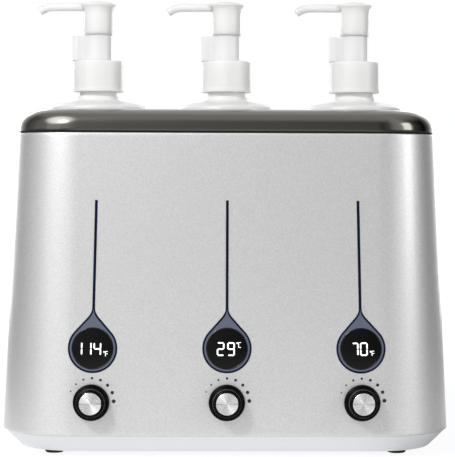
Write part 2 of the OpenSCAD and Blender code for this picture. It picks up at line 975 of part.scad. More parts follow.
module power_inlet() {
    color([0.12, 0.12, 0.12])
        placed()
            on_rear(inlet_z)
                difference() {
                    union() {
                        translate([-inlet_w / 2, -inlet_h / 2, -inlet_l])
                            cube([inlet_w, inlet_h, inlet_l]);
                        translate([-inlet_w / 2 - inlet_rim, -inlet_h / 2 - inlet_rim, -inlet_rim_t])
                            cube([inlet_w + 2 * inlet_rim, inlet_h + 2 * inlet_rim, inlet_rim_t]);
                    }
                    difference() {
                        translate([0, 0, -socket_l])
                            union() {
                                for (s = SIDES)
                                    translate([s * pin_pitch / 2, 0, 0])
                                        cylinder(d = inlet_h - 4, h = socket_l + 1);
                                translate([-pin_pitch / 2, -inlet_h / 2 + 2.6, 0])
                                    cube([pin_pitch, inlet_h - 5.2, socket_l + 1]);
                            }
                        for (s = SIDES)
                            translate([s * pin_pitch / 2, 0, -socket_l - 1])
                                cylinder(d = pin_d, h = socket_l - 1);
                    }
                }
}

// Bottles and pumps

module bottle(column) {
    r = bottle_d / 2;
    edge = shoulder_round;
    tilt = atan(shoulder_rise / (r - edge - bead_d / 2));
    c = [r - edge, shoulder_z - edge];
    color("white", 0.85)
        placed()
            at_bottle(column)
                rotate_extrude()
                    polygon(concat(
                        [[0, bottle_z], [r - 2, bottle_z], [r, bottle_z + 2]],
                        arc(c, edge, 0, 90 - tilt, 6),
                        [
                            [bead_d / 2, neck_z],
                            [bead_d / 2, bead_top],
                            [neck_d / 2, bead_top],
                            [neck_d / 2, neck_top],
                            [neck_d / 2 - neck_wall, neck_top],
                            [neck_d / 2 - neck_wall, neck_z - bottle_wall]
                        ],
                        arc(c, edge - bottle_wall, 90 - tilt, 0, 6),
                        [
                            [r - bottle_wall, bottle_z + 2.4],
                            [r - 2.4, bottle_z + bottle_wall],
                            [0, bottle_z + bottle_wall]
                        ]
                    ));
}

module pump_chamber(column) {
    r = chamber_d / 2;
    nipple_r = dip_d / 2 + 1.4;
    color("ghostwhite")
        placed()
            at_bottle(column)
                rotate_extrude()
                    polygon([
                        [dip_d / 2 + fit / 2, chamber_z - nipple_l],
                        [nipple_r, chamber_z - nipple_l],
                        [nipple_r, chamber_z],
                        [r, chamber_z + r - nipple_r],
                        [r, chamber_flange_z],
                        [neck_d / 2, chamber_flange_z],
                        [neck_d / 2, chamber_flange_z + chamber_flange_t],
                        [stem_d / 2 + clearance, chamber_flange_z + chamber_flange_t],
                        [stem_d / 2 + clearance, chamber_flange_z - 2],
                        [chamber_r, chamber_flange_z - 2],
                        [chamber_r, chamber_z + r - nipple_r],
                        [dip_d / 2 - dip_wall, chamber_z + 1],
                        [dip_d / 2 - dip_wall, chamber_z],
                        [dip_d / 2 + fit / 2, chamber_z]
                    ]);
}

module dip_tube(column) {
    color("whitesmoke")
        placed()
            at_bottle(column)
                ring(dip_d / 2, dip_d / 2 - dip_wall, bottle_z + bottle_wall + dip_end, chamber_z);
}

module pump_collar(column) {
    r = collar_d / 2;
    inner = neck_d / 2 + clearance;
    color("white")
        placed()
            at_bottle(column)
                rotate_extrude()
                    polygon(concat(
                        [
                            [inner, collar_z],
                            [r + collar_flare - 0.6, collar_z],
                            [r + collar_flare, collar_z + 0.6],
                            [r + collar_flare, collar_z + 1.8],
                            [r, collar_z + 3.4]
                        ],
                        arc([r - 1, collar_top - 0.8], 0.8, 0, 90, 4),
                        [
                            [stem_d / 2 + clearance, collar_top],
                            [stem_d / 2 + clearance, collar_under],
                            [inner, collar_under]
                        ]
                    ));
}

module pump_stem(column) {
    r = stem_d / 2;
    piston_r = chamber_r - clearance;
    color("whitesmoke")
        placed()
            at_bottle(column)
                rotate_extrude()
                    polygon([
                        [1.6, stem_end],
                        [piston_r, stem_end],
                        [piston_r, stem_end + piston_l],
                        [r, stem_end + piston_l + 1],
                        [r, head_z + socket_h - clearance],
                        [1.6, head_z + socket_h - clearance]
                    ]);
}

// The nozzle's run and its bent end, for an outer diameter or a bore
module nozzle_path(d, start, extra) {
    translate([-start, 0, nozzle_z])
        rotate([0, -90, 0])
            cylinder(d = d, h = nozzle_run - start);
    translate([-nozzle_run, 0, nozzle_z - nozzle_bend_r])
        rotate([90, 0, 0])
            rotate([0, 0, 90])
                rotate_extrude(angle = nozzle_bend)
                    translate([nozzle_bend_r, 0])
                        circle(d = d);
    if (extra > 0)
        translate([-nozzle_run, 0, nozzle_z - nozzle_bend_r])
            rotate([0, -nozzle_bend, 0])
                translate([0, 0, nozzle_bend_r])
                    rotate([0, -90, 0])
                        cylinder(d = d, h = extra);
}

module pump_head(column) {
    r = head_d / 2;
    lip = head_lip_d / 2;
    color("white")
        placed()
            at_bottle(column)
                difference() {
                    union() {
                        rotate_extrude()
                            polygon(concat(
                                [[0, head_z], [r - 0.5, head_z], [r, head_z + 0.5]],
                                bend([r, lip_z - head_flare], [r, lip_z - 2], [lip, lip_z - 0.4], 8),
                                [[lip, lip_z]],
                                bend([lip - 0.8, lip_z + 0.5], [lip / 2, lip_z + head_dome], [0, lip_z + head_dome], 8)
                            ));
                        nozzle_path(nozzle_d, 2, 0);
                    }
                    translate([0, 0, head_z - 1])
                        cylinder(r = stem_d / 2 + running, h = socket_h + 1);
                    translate([0, 0, head_z + socket_h - 1])
                        cylinder(d = nozzle_bore, h = nozzle_z - head_z - socket_h + 1);
                    nozzle_path(nozzle_bore, 0, 2);
                }
}

module lock_clip(column) {
    slot = stem_d + 2 * clearance;
    web = min(grip_web, grip_w - 0.8);
    color("white", 0.9)
        placed()
            at_bottle(column)
                translate([0, 0, clip_z])
                    difference() {
                        union() {
                            cylinder(d = clip_d, h = clip_top - clip_z);
                            translate([-grip_reach + 1, -web / 2, 0])
                                cube([grip_reach - 1 - stem_d / 2 - 1.5, web, clip_top - clip_z]);
                            translate([-grip_reach, -grip_w / 2, 0])
                                cube([grip_t, grip_w, clip_top - clip_z]);
                        }
                        translate([0, 0, -1])
                            cylinder(d = slot, h = clip_top - clip_z + 2);
                        translate([0, -slot / 2, -1])
                            cube([clip_d, slot, clip_top - clip_z + 2]);
                    }
}

housing_shell();
top_cap();
base_tray();
rubber_feet();
base_screws();
heating_cup(-1);  // heating_cup_left
heating_cup(0);  // heating_cup_middle
heating_cup(1);  // heating_cup_right
cup_gaskets();
heater_bands();
temperature_sensors();
cup_clamps();
clamp_screws();
display_bezel(-1);  // display_bezel_left
display_bezel(0);  // display_bezel_middle
display_bezel(1);  // display_bezel_right
display_window(-1);  // display_window_left
display_window(0);  // display_window_middle
display_window(1);  // display_window_right
display_modules();
control_board();
potentiometers();
shaft_nuts();
board_screws();
power_board();
power_inlet();
knob_body(-1);  // knob_body_left
knob_body(0);  // knob_body_middle
knob_body(1);  // knob_body_right
knob_cap(-1);  // knob_cap_left
knob_cap(0);  // knob_cap_middle
knob_cap(1);  // knob_cap_right
knob_shaft(-1);  // knob_shaft_left
knob_shaft(0);  // knob_shaft_middle
knob_shaft(1);  // knob_shaft_right
bottle(-1);  // bottle_left
bottle(0);  // bottle_middle
bottle(1);  // bottle_right
pump_chamber(-1);  // pump_chamber_left
pump_chamber(0);  // pump_chamber_middle
pump_chamber(1);  // pump_chamber_right
dip_tube(-1);  // dip_tube_left
dip_tube(0);  // dip_tube_middle
dip_tube(1);  // dip_tube_right
pump_collar(-1);  // pump_collar_left
pump_collar(0);  // pump_collar_middle
pump_collar(1);  // pump_collar_right
pump_stem(-1);  // pump_stem_left
pump_stem(0);  // pump_stem_middle
pump_stem(1);  // pump_stem_right
pump_head(-1);  // pump_head_left
pump_head(0);  // pump_head_middle
pump_head(1);  // pump_head_right
lock_clip(-1);  // lock_clip_left
lock_clip(0);  // lock_clip_middle
lock_clip(1);  // lock_clip_right
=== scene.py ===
"""Finished looks of a warmer for three pump bottles of massage oil, built around its packed solids."""

import math

import bmesh
import bpy
from bpy.props import FloatProperty, FloatVectorProperty, IntProperty, PointerProperty
from mathutils import Matrix, Vector


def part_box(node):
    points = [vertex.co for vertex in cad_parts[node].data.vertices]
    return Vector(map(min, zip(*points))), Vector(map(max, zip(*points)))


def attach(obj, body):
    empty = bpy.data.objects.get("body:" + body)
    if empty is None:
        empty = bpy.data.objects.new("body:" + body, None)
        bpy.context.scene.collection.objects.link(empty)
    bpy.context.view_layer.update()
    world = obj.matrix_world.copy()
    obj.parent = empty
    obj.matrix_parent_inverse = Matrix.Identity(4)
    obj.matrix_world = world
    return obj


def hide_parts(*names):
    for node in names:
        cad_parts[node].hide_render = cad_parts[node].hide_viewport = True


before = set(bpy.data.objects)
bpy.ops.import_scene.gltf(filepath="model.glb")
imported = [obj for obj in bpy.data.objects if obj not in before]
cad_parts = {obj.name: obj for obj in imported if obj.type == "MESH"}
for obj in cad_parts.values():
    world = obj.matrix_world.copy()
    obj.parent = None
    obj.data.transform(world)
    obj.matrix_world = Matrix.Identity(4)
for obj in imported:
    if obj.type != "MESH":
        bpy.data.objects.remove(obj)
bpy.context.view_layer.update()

bl_info = {
    "name": "Oil Warmer Looks",
    "version": (1, 0, 0),
    "blender": (4, 5, 0),
    "location": "View3D > Sidebar > Oil Warmer",
    "description": "Builds the finished surfaces of a three-bottle oil warmer around its solids",
    "category": "Object",
}

MM = 0.001
COLUMNS = {"left": -1, "middle": 0, "right": 1}
BOTTLE_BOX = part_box("bottle_middle")
# The row of bottles stands this far behind the origin
ROW_Y = (BOTTLE_BOX[0].y + BOTTLE_BOX[1].y) / 2
# Height of the mains inlet at the rear
INLET_Z = 46.0 * MM
# Depth of a rubber foot's seat in the base
FOOT_SEAT = 1.2 * MM
# Points nearer to each other than this are made one
MERGE = 1e-7
# Edges that turn by more than this many degrees are shaded sharp
SHARP = 32.0
CAP_SHARP = 28.0
RIB_SHARP = 50.0
SPUN_SHARP = 60.0


def length(name, millimetres, description):
    """A length that is written in millimetres and kept in metres."""
    return FloatProperty(
        name=name,
        description=description,
        default=millimetres * MM,
        precision=5,
        unit="LENGTH",
    )


def angle(name, degrees, description):
    """An angle that is written in degrees and kept in radians."""
    return FloatProperty(
        name=name,
        description=description,
        default=math.radians(degrees),
        subtype="ANGLE",
    )


def tint(name, colour, description):
    """A colour in linear light."""
    return FloatVectorProperty(
        name=name,
        description=description,
        default=colour,
        size=3,
        min=0.0,
        max=1.0,
        subtype="COLOR",
    )


def count(name, number, least, description):
    """A whole number."""
    return IntProperty(name=name, description=description, default=number, min=least)


def level(name, number, description, least=0.0):
    """A strength, or another number without a unit."""
    return FloatProperty(name=name, description=description, default=number, min=least)


class WarmerCase(bpy.types.PropertyGroup):
    """Sizes of the housing, its cap and its base."""

    corner_x: length("Corner X", 102.5, "Half length of the rectangle that the corners swing about")
    corner_y: length("Corner Y", 13.0, "Half depth of that rectangle")
    base_reach: length("Base Reach", 52.0, "Reach of the housing outside the rectangle, low")
    top_reach: length("Top Reach", 41.8, "Reach of the housing outside the rectangle, high")
    housing_z: length("Housing Foot", 15.9, "Height of the housing's lower edge")
    housing_top: length("Housing Top", 219.2, "Height of the housing's upper edge")
    wall: length("Wall", 2.6, "Wall thickness of the housing")
    edge: length("Upper Edge", 0.8, "Rounding of the housing's upper edge")
    cap_reach: length("Cap Reach", 41.7, "Reach of the cap outside the rectangle")
    cap_fillet: length("Cap Rounding", 13.0, "Radius of the cap's rounded edge")
    cap_foot: length("Cap Foot", 220.6, "Height of the cap's lower edge")
    cap_arc: length("Cap Arc", 222.5, "Height at which the cap's rounding starts")
    cap_wall: length("Cap Wall", 2.6, "Thickness of the cap")
    opening: length("Opening", 35.0, "Radius of a bottle opening")
    tray_z: length("Base Height", 3.8, "Height of the base's underside")
    tray_groove: length("Base Groove", 0.6, "Inset of the base behind the housing")
    foot_x: length("Foot X", 118.0, "Half distance between the feet, left to right")
    foot_y: length("Foot Y", 30.0, "Half distance between the feet, front to back")
    foot_d: length("Foot Diameter", 13.0, "Diameter of a rubber foot")
    corner_steps: count("Corner Steps", 20, 4, "Faces round a corner")


class WarmerFront(bpy.types.PropertyGroup):
    """Sizes of the displays, dots and knobs."""

    column_gap: length("Column Gap", 90.0, "Distance between neighbouring columns")
    window_z: length("Window Height", 74.5, "Height of the windows' middle")
    column_lean: angle("Column Lean", 1.25, "Lean of the outer columns towards the middle")
    window_r: length("Window Radius", 13.6, "Radius of a display window")
    window_top: length("Window Top", 0.3, "Height of the window's face above the housing")
    drop_r: length("Drop Radius", 16.5, "Radius of the drop's round end")
    drop_flank: angle("Drop Flank", 41.7, "Angle of the drop's flanks, from upright")
    drop_blend: length("Drop Blend", 3.2, "Length over which a flank turns into the stem")
    stem_half: length("Stem", 0.875, "Half width of the drop's stem")
    stem_top: length("Stem Top", 99.4, "Height of the stem's end above the window's middle")
    inlay_depth: length("Inlay Depth", 1.2, "Depth of the drop in the housing")
    inlay_proud: length("Inlay Height", 0.4, "Height of the drop above the housing")
    border: length("Drop Border", 1.25, "Width of the dark border round the drop")
    stroke: length("Stroke", 0.95, "Width of a digit's strokes")
    knob_drop: length("Knob Drop", 36.2, "Distance from the window's middle to the knob's axis")
    rib_count: count("Ribs", 36, 6, "Number of ribs round a knob")
    dot_count: count("Dots", 8, 2, "Number of dots round a knob")
    dot_drop: length("Dot Drop", 35.0, "Distance from the window's middle to the middle of the dots")
    dot_circle: length("Dot Circle", 15.05, "Radius of the circle of dots")
    dot_first: length("First Dot", 1.0, "Diameter of the smallest dot")
    dot_last: length("Last Dot", 2.6, "Diameter of the largest dot")
    dot_start: angle("Dot Start", -66.7, "Angle of the smallest dot, clockwise from the top")
    dot_step: angle("Dot Step", 22.4, "Angle from one dot to the next")


class WarmerPump(bpy.types.PropertyGroup):
    """Sizes of the bottles and their pumps."""

    bottle_r: length("Bottle Radius", 33.5, "Radius of a bottle")
    bottle_z: length("Bottle Foot", 114.0, "Height of a bottle's bottom")
    shoulder_z: length("Shoulder", 238.7, "Height of the shoulder's edge")
    shoulder_edge: length("Shoulder Edge", 3.2, "Radius of the shoulder's edge")
    crown_r: length("Crown Radius", 24.5, "Radius at which the shoulder turns flatter")
    crown_z: length("Crown", 240.85, "Height at which the shoulder turns flatter")
    neck_z: length("Neck", 242.7, "Height of the neck's foot")
    neck_r: length("Neck Radius", 13.6, "Radius of the neck")
    bead_r: length("Bead Radius", 14.8, "Radius of the bead under the neck")
    bead_top: length("Bead Top", 245.6, "Height of the bead's upper edge")
    neck_top: length("Neck Top", 264.8, "Height of the neck's upper edge")
    bottle_wall: length("Bottle Wall", 1.2, "Wall thickness of a bottle")
    collar_r: length("Collar Radius", 17.6, "Radius of a collar")
    collar_z: length("Collar Foot", 248.9, "Height of the collar's lower edge")
    collar_top: length("Collar Top", 270.4, "Height of the collar's upper edge")
    stem_r: length("Stem Radius", 4.5, "Radius of the pump's stem")
    clip_r: length("Clip Radius", 9.8, "Outer radius of the lock clip")
    clip_grip: length("Clip Grip", 17.6, "Reach of the clip's grip")
    head_r: length("Head Radius", 10.0, "Radius of the head")
    head_z: length("Head Foot", 289.6, "Height of the head's lower edge")
    lip_r: length("Lip Radius", 12.2, "Radius of the head's lip")
    lip_z: length("Lip", 309.9, "Height of the head's lip")
    dome: length("Dome", 2.6, "Rise of the head's top above its lip")
    spout_r: length("Spout Radius", 2.8, "Radius of the spout")
    spout_bore: length("Spout Bore", 1.5, "Radius of the spout's bore")
    spout_run: length("Spout Run", 30.6, "Length of the spout's straight run")
    spout_bend: length("Spout Bend", 17.0, "Bend radius of the spout's end")
    spout_drop: length("Spout Drop", 1.6, "Drop of the spout's axis below the lip")
    spout_angle: angle("Spout Angle", 38.0, "Angle of the spout's bend")


class WarmerColours(bpy.types.PropertyGroup):
    """Colours of the finishes."""

    silver: tint("Silver", (0.72, 0.72, 0.72), "Metallic paint of the housing")
    chrome: tint("Dark Chrome", (0.125, 0.119, 0.102), "Plating of the cap")
    base: tint("Base", (0.80, 0.81, 0.84), "White plastic of the base")
    slate: tint("Slate", (0.100, 0.117, 0.168), "Face of the drops")
    navy: tint("Navy", (0.004, 0.006, 0.028), "Border and stem of the drops")
    lens: tint("Lens", (0.004, 0.004, 0.004), "Display windows")
    digit: tint("Digit", (1.0, 1.0, 1.0), "Lit strokes of the displays")
    print_ink: tint("Print", (0.008, 0.009, 0.018), "Printed dots")
    knob: tint("Knob", (0.003, 0.003, 0.003), "Black plastic of the knobs")
    aluminium: tint("Aluminium", (0.88, 0.88, 0.89), "Spun caps of the knobs")
    rubber: tint("Rubber", (0.012, 0.012, 0.012), "Rubber feet")
    bottle: tint("Bottle", (0.88, 0.88, 0.865), "Plastic of the bottles")
    pump: tint("Pump", (0.86, 0.86, 0.85), "Plastic of the pumps")
    clip: tint("Clip", (0.84, 0.84, 0.84), "Plastic of the lock clips")


class WarmerStage(bpy.types.PropertyGroup):
    """Camera and lamps."""

    camera_gap: length("Camera Distance", 1150.0, "Distance of the camera from the housing's front")
    camera_x: length("Camera X", -20.0, "Sideways place of the camera")
    camera_z: length("Camera Height", 188.0, "Height of the camera")
    aim_x: length("Aim X", 0.0, "Place on the front that lies in the middle of the picture")
    pitch: angle("Pitch", -1.635, "Upward tilt of the camera")
    roll: angle("Roll", 0.22, "Turn of the camera about its own axis")
    lens: level("Lens", 135.8, "Focal length in millimetres", 1.0)
    ambient: level("Ambient", 0.68, "Light from all round")
    key: level("Key", 6.5, "Power of the key lamp")
    left_fill: level("Left Fill", 1.0, "Power of the left soft box")
    rim: level("Rims", 5.0, "Power of the boxes behind")
    right_fill: level("Right Fill", 4.0, "Power of the right soft box")


# Shader trees


class Socket:
    """An output of a node. Sums on it add Math nodes."""

    def __init__(self, shading, output):
        self.shading = shading
        self.output = output

    def other(self, key):
        """Another output of the same node."""
        return Socket(self.shading, self.output.node.outputs[key])

    def sum(self, operation, first, second):
        return self.shading.node("ShaderNodeMath", {"operation": operation}, {0: first, 1: second})

    def __add__(self, other):
        return self.sum("ADD", self, other)

    def __radd__(self, other):
        return self.sum("ADD", other, self)

    def __sub__(self, other):
        return self.sum("SUBTRACT", self, other)

    def __rsub__(self, other):
        return self.sum("SUBTRACT", other, self)

    def __mul__(self, other):
        return self.sum("MULTIPLY", self, other)

    def __rmul__(self, other):
        return self.sum("MULTIPLY", other, self)

    def __truediv__(self, other):
        return self.sum("DIVIDE", self, other)

    def __rtruediv__(self, other):
        return self.sum("DIVIDE", other, self)

    def __abs__(self):
        return self.sum("ABSOLUTE", self, 0.0)

    def most(self, other):
        return self.sum("MAXIMUM", self, other)

    def ramp(self, low, high, at_low=0.0, at_high=1.0):
        """Goes smoothly from one value to another as this one goes from low to high."""
        settings = {"interpolation_type": "SMOOTHSTEP"}
        sockets = {"Value": self, "From Min": low, "From Max": high, "To Min": at_low, "To Max": at_high}
        return self.shading.node("ShaderNodeMapRange", settings, sockets)


class Shading:
    """Adds nodes to a shader tree."""

    def __init__(self, tree):
        self.tree = tree

    def feed(self, place, value):
        if isinstance(value, Socket):
            self.tree.links.new(value.output, place)
        elif getattr(place, "type", "") == "RGBA" and len(value) == 3:
            place.default_value = (*value, 1.0)
        else:
            place.default_value = value

    def node(self, kind, settings=None, sockets=None, output=0):
        """Adds a node. Its settings, a ramp's stops among them, are set before its sockets."""
        node = self.tree.nodes.new(kind)
        for key, value in (settings or {}).items():
            if key == "stops":
                set_stops(node.color_ramp, value)
            else:
                setattr(node, key, value)
        for key, value in (sockets or {}).items():
            self.feed(node.inputs[key], value)
        return Socket(self, node.outputs[output]) if node.outputs else None

    def blend(self, factor, first, second):
        """A colour between two others."""
        settings = {"data_type": "RGBA"}
        return self.node("ShaderNodeMix", settings, {0: factor, 6: first, 7: second}, 2)

    def noise(self, place, scale, detail=2.0):
        sockets = {"Vector": place, "Scale": scale, "Detail": detail}
        return self.node("ShaderNodeTexNoise", {}, sockets)

    def parts(self, vector):
        """The x, y and z of a vector."""
        split = self.node("ShaderNodeSeparateXYZ", {}, {0: vector})
        return [split.other(axis) for axis in "XYZ"]


def set_stops(ramp, stops):
    """Greys of a ramp with soft steps. Each stop is a level at a place from 0 to 1."""
    ramp.interpolation = "EASE"
    while len(ramp.elements) < len(stops):
        ramp.elements.new(0.5)
    for element, (spot, grey) in zip(ramp.elements, sorted(stops.items())):
        element.position = spot
        element.color = (grey, grey, grey, 1.0)


class Finish(Shading):
    """A material that starts from one Principled shader."""

    def __init__(self, name, fixed):
        self.material = bpy.data.materials.new(name + "_finish")
        self.material.use_nodes = True
        super().__init__(self.material.node_tree)
        self.shader = self.tree.nodes["Principled BSDF"]
        self.place = self.node("ShaderNodeTexCoord", output="Object")
        for key, value in fixed.items():
            self.give(key, value)

    def give(self, key, value):
        self.feed(self.shader.inputs[key], value)

    def tone(self, mask, colour, low, high):
        """Base colour, from low times the colour where the mask is 0 to high times it where it is 1."""
        dark = [channel * low for channel in colour]
        light = [min(1.0, channel * high) for channel in colour]
        self.give("Base Color", self.blend(mask, dark, light))

    def shade(self, colour, variation, scale):
        """Base colour with a soft cloudy variation."""
        self.tone(self.noise(self.place, scale, 3.0), colour, 1.0 - variation, 1.0 + variation)

    def grain(self, scale, depth, detail=2.0, strength=1.0):
        """Fine bumps of a moulded or painted surface."""
        height = self.noise(self.place, scale, detail)
        sockets = {"Strength": strength, "Distance": depth, "Height": height}
        self.give("Normal", self.node("ShaderNodeBump", {}, sockets))

    def wear(self, low, high, scale):
        """Roughness that wanders between two values."""
        cloud = self.noise(self.place, scale, 4.0)
        self.give("Roughness", cloud * (high - low) + low)


def colours():
    return bpy.context.scene.warmer_colours


def silver_paint():
    finish = Finish("silver_paint", {"Metallic": 0.70, "Coat Weight": 0.35, "Coat Roughness": 0.15})
    settings = {"feature": "F1", "distance": "EUCLIDEAN"}
    sockets = {"Vector": finish.place, "Scale": 2200.0}
    # Each flake has its own shade and gloss
    red, green, _blue = finish.parts(finish.node("ShaderNodeTexVoronoi", settings, sockets, "Color"))
    finish.tone(red, colours().silver, 0.90, 1.09)
    finish.give("Roughness", green * 0.08 + 0.39)
    finish.grain(2600.0, 0.02 * MM, 1.0, 0.35)
    return finish.material


def dark_chrome():
    coat = {"Coat Weight": 1.0, "Coat Roughness": 0.08, "Coat IOR": 1.6}
    finish = Finish("dark_chrome", {"Metallic": 1.0, **coat})
    finish.shade(colours().chrome, 0.05, 30.0)
    finish.wear(0.15, 0.19, 60.0)
    return finish.material


def plastic(name, colour, roughness, scale=700.0, depth=0.01 * MM, **fixed):
    """A moulded plastic with a fine grain. Underscores in the names of fixed sockets stand for spaces."""
    finish = Finish(name, {key.replace("_", " "): value for key, value in fixed.items()})
    finish.shade(colour, 0.02, 40.0)
    finish.wear(roughness - 0.04, roughness + 0.04, 220.0)
    finish.grain(scale, depth)
    return finish.material


def metal(name, colour, roughness):
    """A bare metal with fine marks."""
    finish = Finish(name, {"Metallic": 1.0})
    finish.shade(colour, 0.04, 120.0)
    finish.wear(roughness - 0.06, roughness + 0.06, 300.0)
    finish.grain(900.0, 0.01 * MM)
    return finish.material


def spun_metal():
    finish = Finish("knob_aluminium", {"Metallic": 1.0})
    finish.shade(colours().aluminium, 0.015, 120.0)
    finish.wear(0.09, 0.11, 300.0)
    return finish.material


def lit_strokes():
    finish = Finish("lit_strokes", {"Roughness": 0.5, "Emission Strength": 0.9})
    cloud = finish.noise(finish.place, 600.0)
    white = colours().digit
    finish.give("Base Color", finish.blend(cloud, (0.6, 0.6, 0.6), white))
    finish.give("Emission Color", finish.blend(cloud, (0.94, 0.95, 0.97), white))
    return finish.material


def circuit_board():
    finish = Finish("board", {"Roughness": 0.4, "Coat Weight": 0.4})
    sockets = {"Vector": finish.place, "Scale": 90.0, "Distortion": 3.0}
    track = finish.node("ShaderNodeTexWave", {"wave_type": "BANDS"}, sockets)
    finish.give("Base Color", finish.blend(track, (0.008, 0.06, 0.025), (0.015, 0.11, 0.04)))
    finish.grain(500.0, 0.03 * MM)
    return finish.material


# Light goes a few millimetres into the white plastic of bottles and pumps
MILKY = {"Subsurface_Weight": 0.6, "Subsurface_Radius": (1.0, 1.0, 0.95), "Subsurface_Scale": 5.0 * MM}
# A smooth moulding waves over a wider pitch than a grained one
SMOOTH = {"scale": 60.0, "depth": 0.002 * MM}

FINISHES = {
    "silver_paint": silver_paint,
    "dark_chrome": dark_chrome,
    "white_plastic": lambda: plastic("white_plastic", colours().base, 0.36),
    "black_rubber": lambda: plastic("black_rubber", colours().rubber, 0.75, 1500.0, 0.05 * MM),
    "steel": lambda: metal("steel", (0.55, 0.55, 0.55), 0.35),
    "cup_aluminium": lambda: metal("cup_aluminium", (0.74, 0.75, 0.76), 0.38),
    "silicone": lambda: plastic("silicone", (0.75, 0.75, 0.72), 0.55),
    "heater_silicone": lambda: plastic("heater_silicone", (0.42, 0.10, 0.03), 0.6, 900.0, 0.06 * MM),
    "sensor_metal": lambda: metal("sensor_metal", (0.75, 0.55, 0.22), 0.35),
    "board": circuit_board,
    "slate_plastic": lambda: plastic("slate_plastic", colours().slate, 0.34, Coat_Weight=0.3),
    "navy_plastic": lambda: plastic("navy_plastic", colours().navy, 0.30, Specular_IOR_Level=0.12),
    "window_black": lambda: plastic("window_black", colours().lens, 0.10, **SMOOTH, Specular_IOR_Level=0.18),
    "bead_black": lambda: plastic("bead_black", colours().lens, 0.12, **SMOOTH),
    "module_black": lambda: plastic("module_black", (0.02, 0.02, 0.02), 0.5),
    "component_grey": lambda: plastic("component_grey", (0.06, 0.07, 0.08), 0.5),
    "inlet_black": lambda: plastic("inlet_black", (0.016, 0.016, 0.016), 0.45, 900.0, 0.03 * MM),
    "knob_black": lambda: plastic(
        "knob_black", colours().knob, 0.12, 900.0, 0.003 * MM, Specular_IOR_Level=0.04),
    "knob_aluminium": spun_metal,
    "bottle_plastic": lambda: plastic("bottle_plastic", colours().bottle, 0.32, **MILKY),
    "pump_white": lambda: plastic("pump_white", colours().pump, 0.34, **MILKY),
    "clip_plastic": lambda: plastic("clip_plastic", colours().clip, 0.30, **MILKY),
    "print_ink": lambda: plastic("print_ink", colours().print_ink, 0.5),
    "lit_strokes": lit_strokes,
}


def finish_of(name):
    """The material of that name, made when it is first asked for."""
    return bpy.data.materials.get(name + "_finish") or FINISHES[name]()


# Shapes


def rounded(corners, steps=5):
    """Points through (x, y, radius) corners, with each corner rounded by its radius."""
    points = []
    for i, (x, y, radius) in enumerate(corners):
        here = Vector((x, y))
        if radius <= 0.0 or i in (0, len(corners) - 1):
            points.append(here)
            continue
        back = (Vector(corners[i - 1][:2]) - here).normalized()
        ahead = (Vector(corners[i + 1][:2]) - here).normalized()
        half = back.angle(ahead) / 2.0
        centre = here + (back + ahead).normalized() * radius / math.sin(half)
        start = here + back * radius / math.tan(half) - centre
        end = here + ahead * radius / math.tan(half) - centre
        swing = start.angle(end)
        for k in range(steps + 1):
            t = k / steps
            a = math.sin((1.0 - t) * swing) / math.sin(swing)
            b = math.sin(t * swing) / math.sin(swing)
            points.append(centre + start * a + end * b)
    return points


def scaled(corners):
    """Profile corners in millimetres, as metres."""
    return [tuple(value * MM for value in corner) for corner in corners]


def loft(shape, rings, closed=False, low_cap=False, high_cap=False, second=()):
    """Joins rings of equal length by four-sided faces. Rows named in second get the second finish."""
    rows = [[shape.verts.new(point) for point in ring] for ring in rings]
    pairs = list(zip(rows, rows[1:]))
    if closed:
        pairs.append((rows[-1], rows[0]))
    faces = []
    for row, (low, high) in enumerate(pairs):
        for i in range(len(low)):
            j = (i + 1) % len(low)
            faces.append(shape.faces.new((low[i], low[j], high[j], high[i])))
            faces[-1].material_index = 1 if row in second else 0
    if low_cap:
        faces.append(shape.faces.new(rows[0][::-1]))
    if high_cap:
        faces.append(shape.faces.new(rows[-1]))
    for face in faces:
        face.smooth = True


def arc(centre, radius, start, swing, steps):
    """Points of an arc that starts at an angle and swings through another."""
    turns = [start + swing * i / steps for i in range(steps + 1)]
    x, y = centre
    return [(x + radius * math.cos(turn), y + radius * math.sin(turn)) for turn in turns]


def circle(radius, steps):
    """Points of a circle round the origin."""
    return arc((0.0, 0.0), radius, 0.0, 2.0 * math.pi, steps)[:-1]


def bend(start, control, end, steps):
    """Points of a curve from start to end that is drawn towards the control point."""
    points = []
    for i in range(steps + 1):
        t = i / steps
        shares = ((1 - t) ** 2, 2 * t * (1 - t), t * t)
        points.append(tuple(sum(s * p for s, p in zip(shares, axis)) for axis in zip(start, control, end)))
    return points


def round_box(half_x, half_y, radius):
    """Outline of a rectangle with rounded corners."""
    points = []
    for quarter, (sx, sy) in enumerate(((1, 1), (-1, 1), (-1, -1), (1, -1))):
        corner = (sx * (half_x - radius), sy * (half_y - radius))
        points += arc(corner, radius, quarter * math.pi / 2.0, math.pi / 2.0, 5)
    return points


def stacked(levels, place):
    """Rings of points from (outline, height) levels."""
    return [[place @ Vector((x, y, height)) for x, y in outline] for outline, height in levels]


def lathe(shape, profile, place, steps=96, closed=False):
    """Turns (radius, height) points about the z axis of a place."""
    levels = [(circle(radius, steps), height) for radius, height in profile]
    loft(shape, stacked(levels, place), closed=closed)


def prism(shape, levels, place):
    """A solid through (outline, height) levels, closed at both ends."""
    loft(shape, stacked(levels, place), low_cap=True, high_cap=True)


def block(shape, outline, low, high, place):
    """A straight solid from one height to another."""
    prism(shape, [(outline, low), (outline, high)], place)


def mesh_of(shape, name, sharp=SHARP):
    """Closes a shape's seams and poles, turns its faces outwards and makes it a mesh."""
    bmesh.ops.remove_doubles(shape, verts=shape.verts, dist=MERGE)
    bmesh.ops.recalc_face_normals(shape, faces=shape.faces)
    mesh = bpy.data.meshes.new(name)
    shape.to_mesh(mesh)
    shape.free()
    mesh.set_sharp_from_angle(angle=math.radians(sharp))
    return mesh


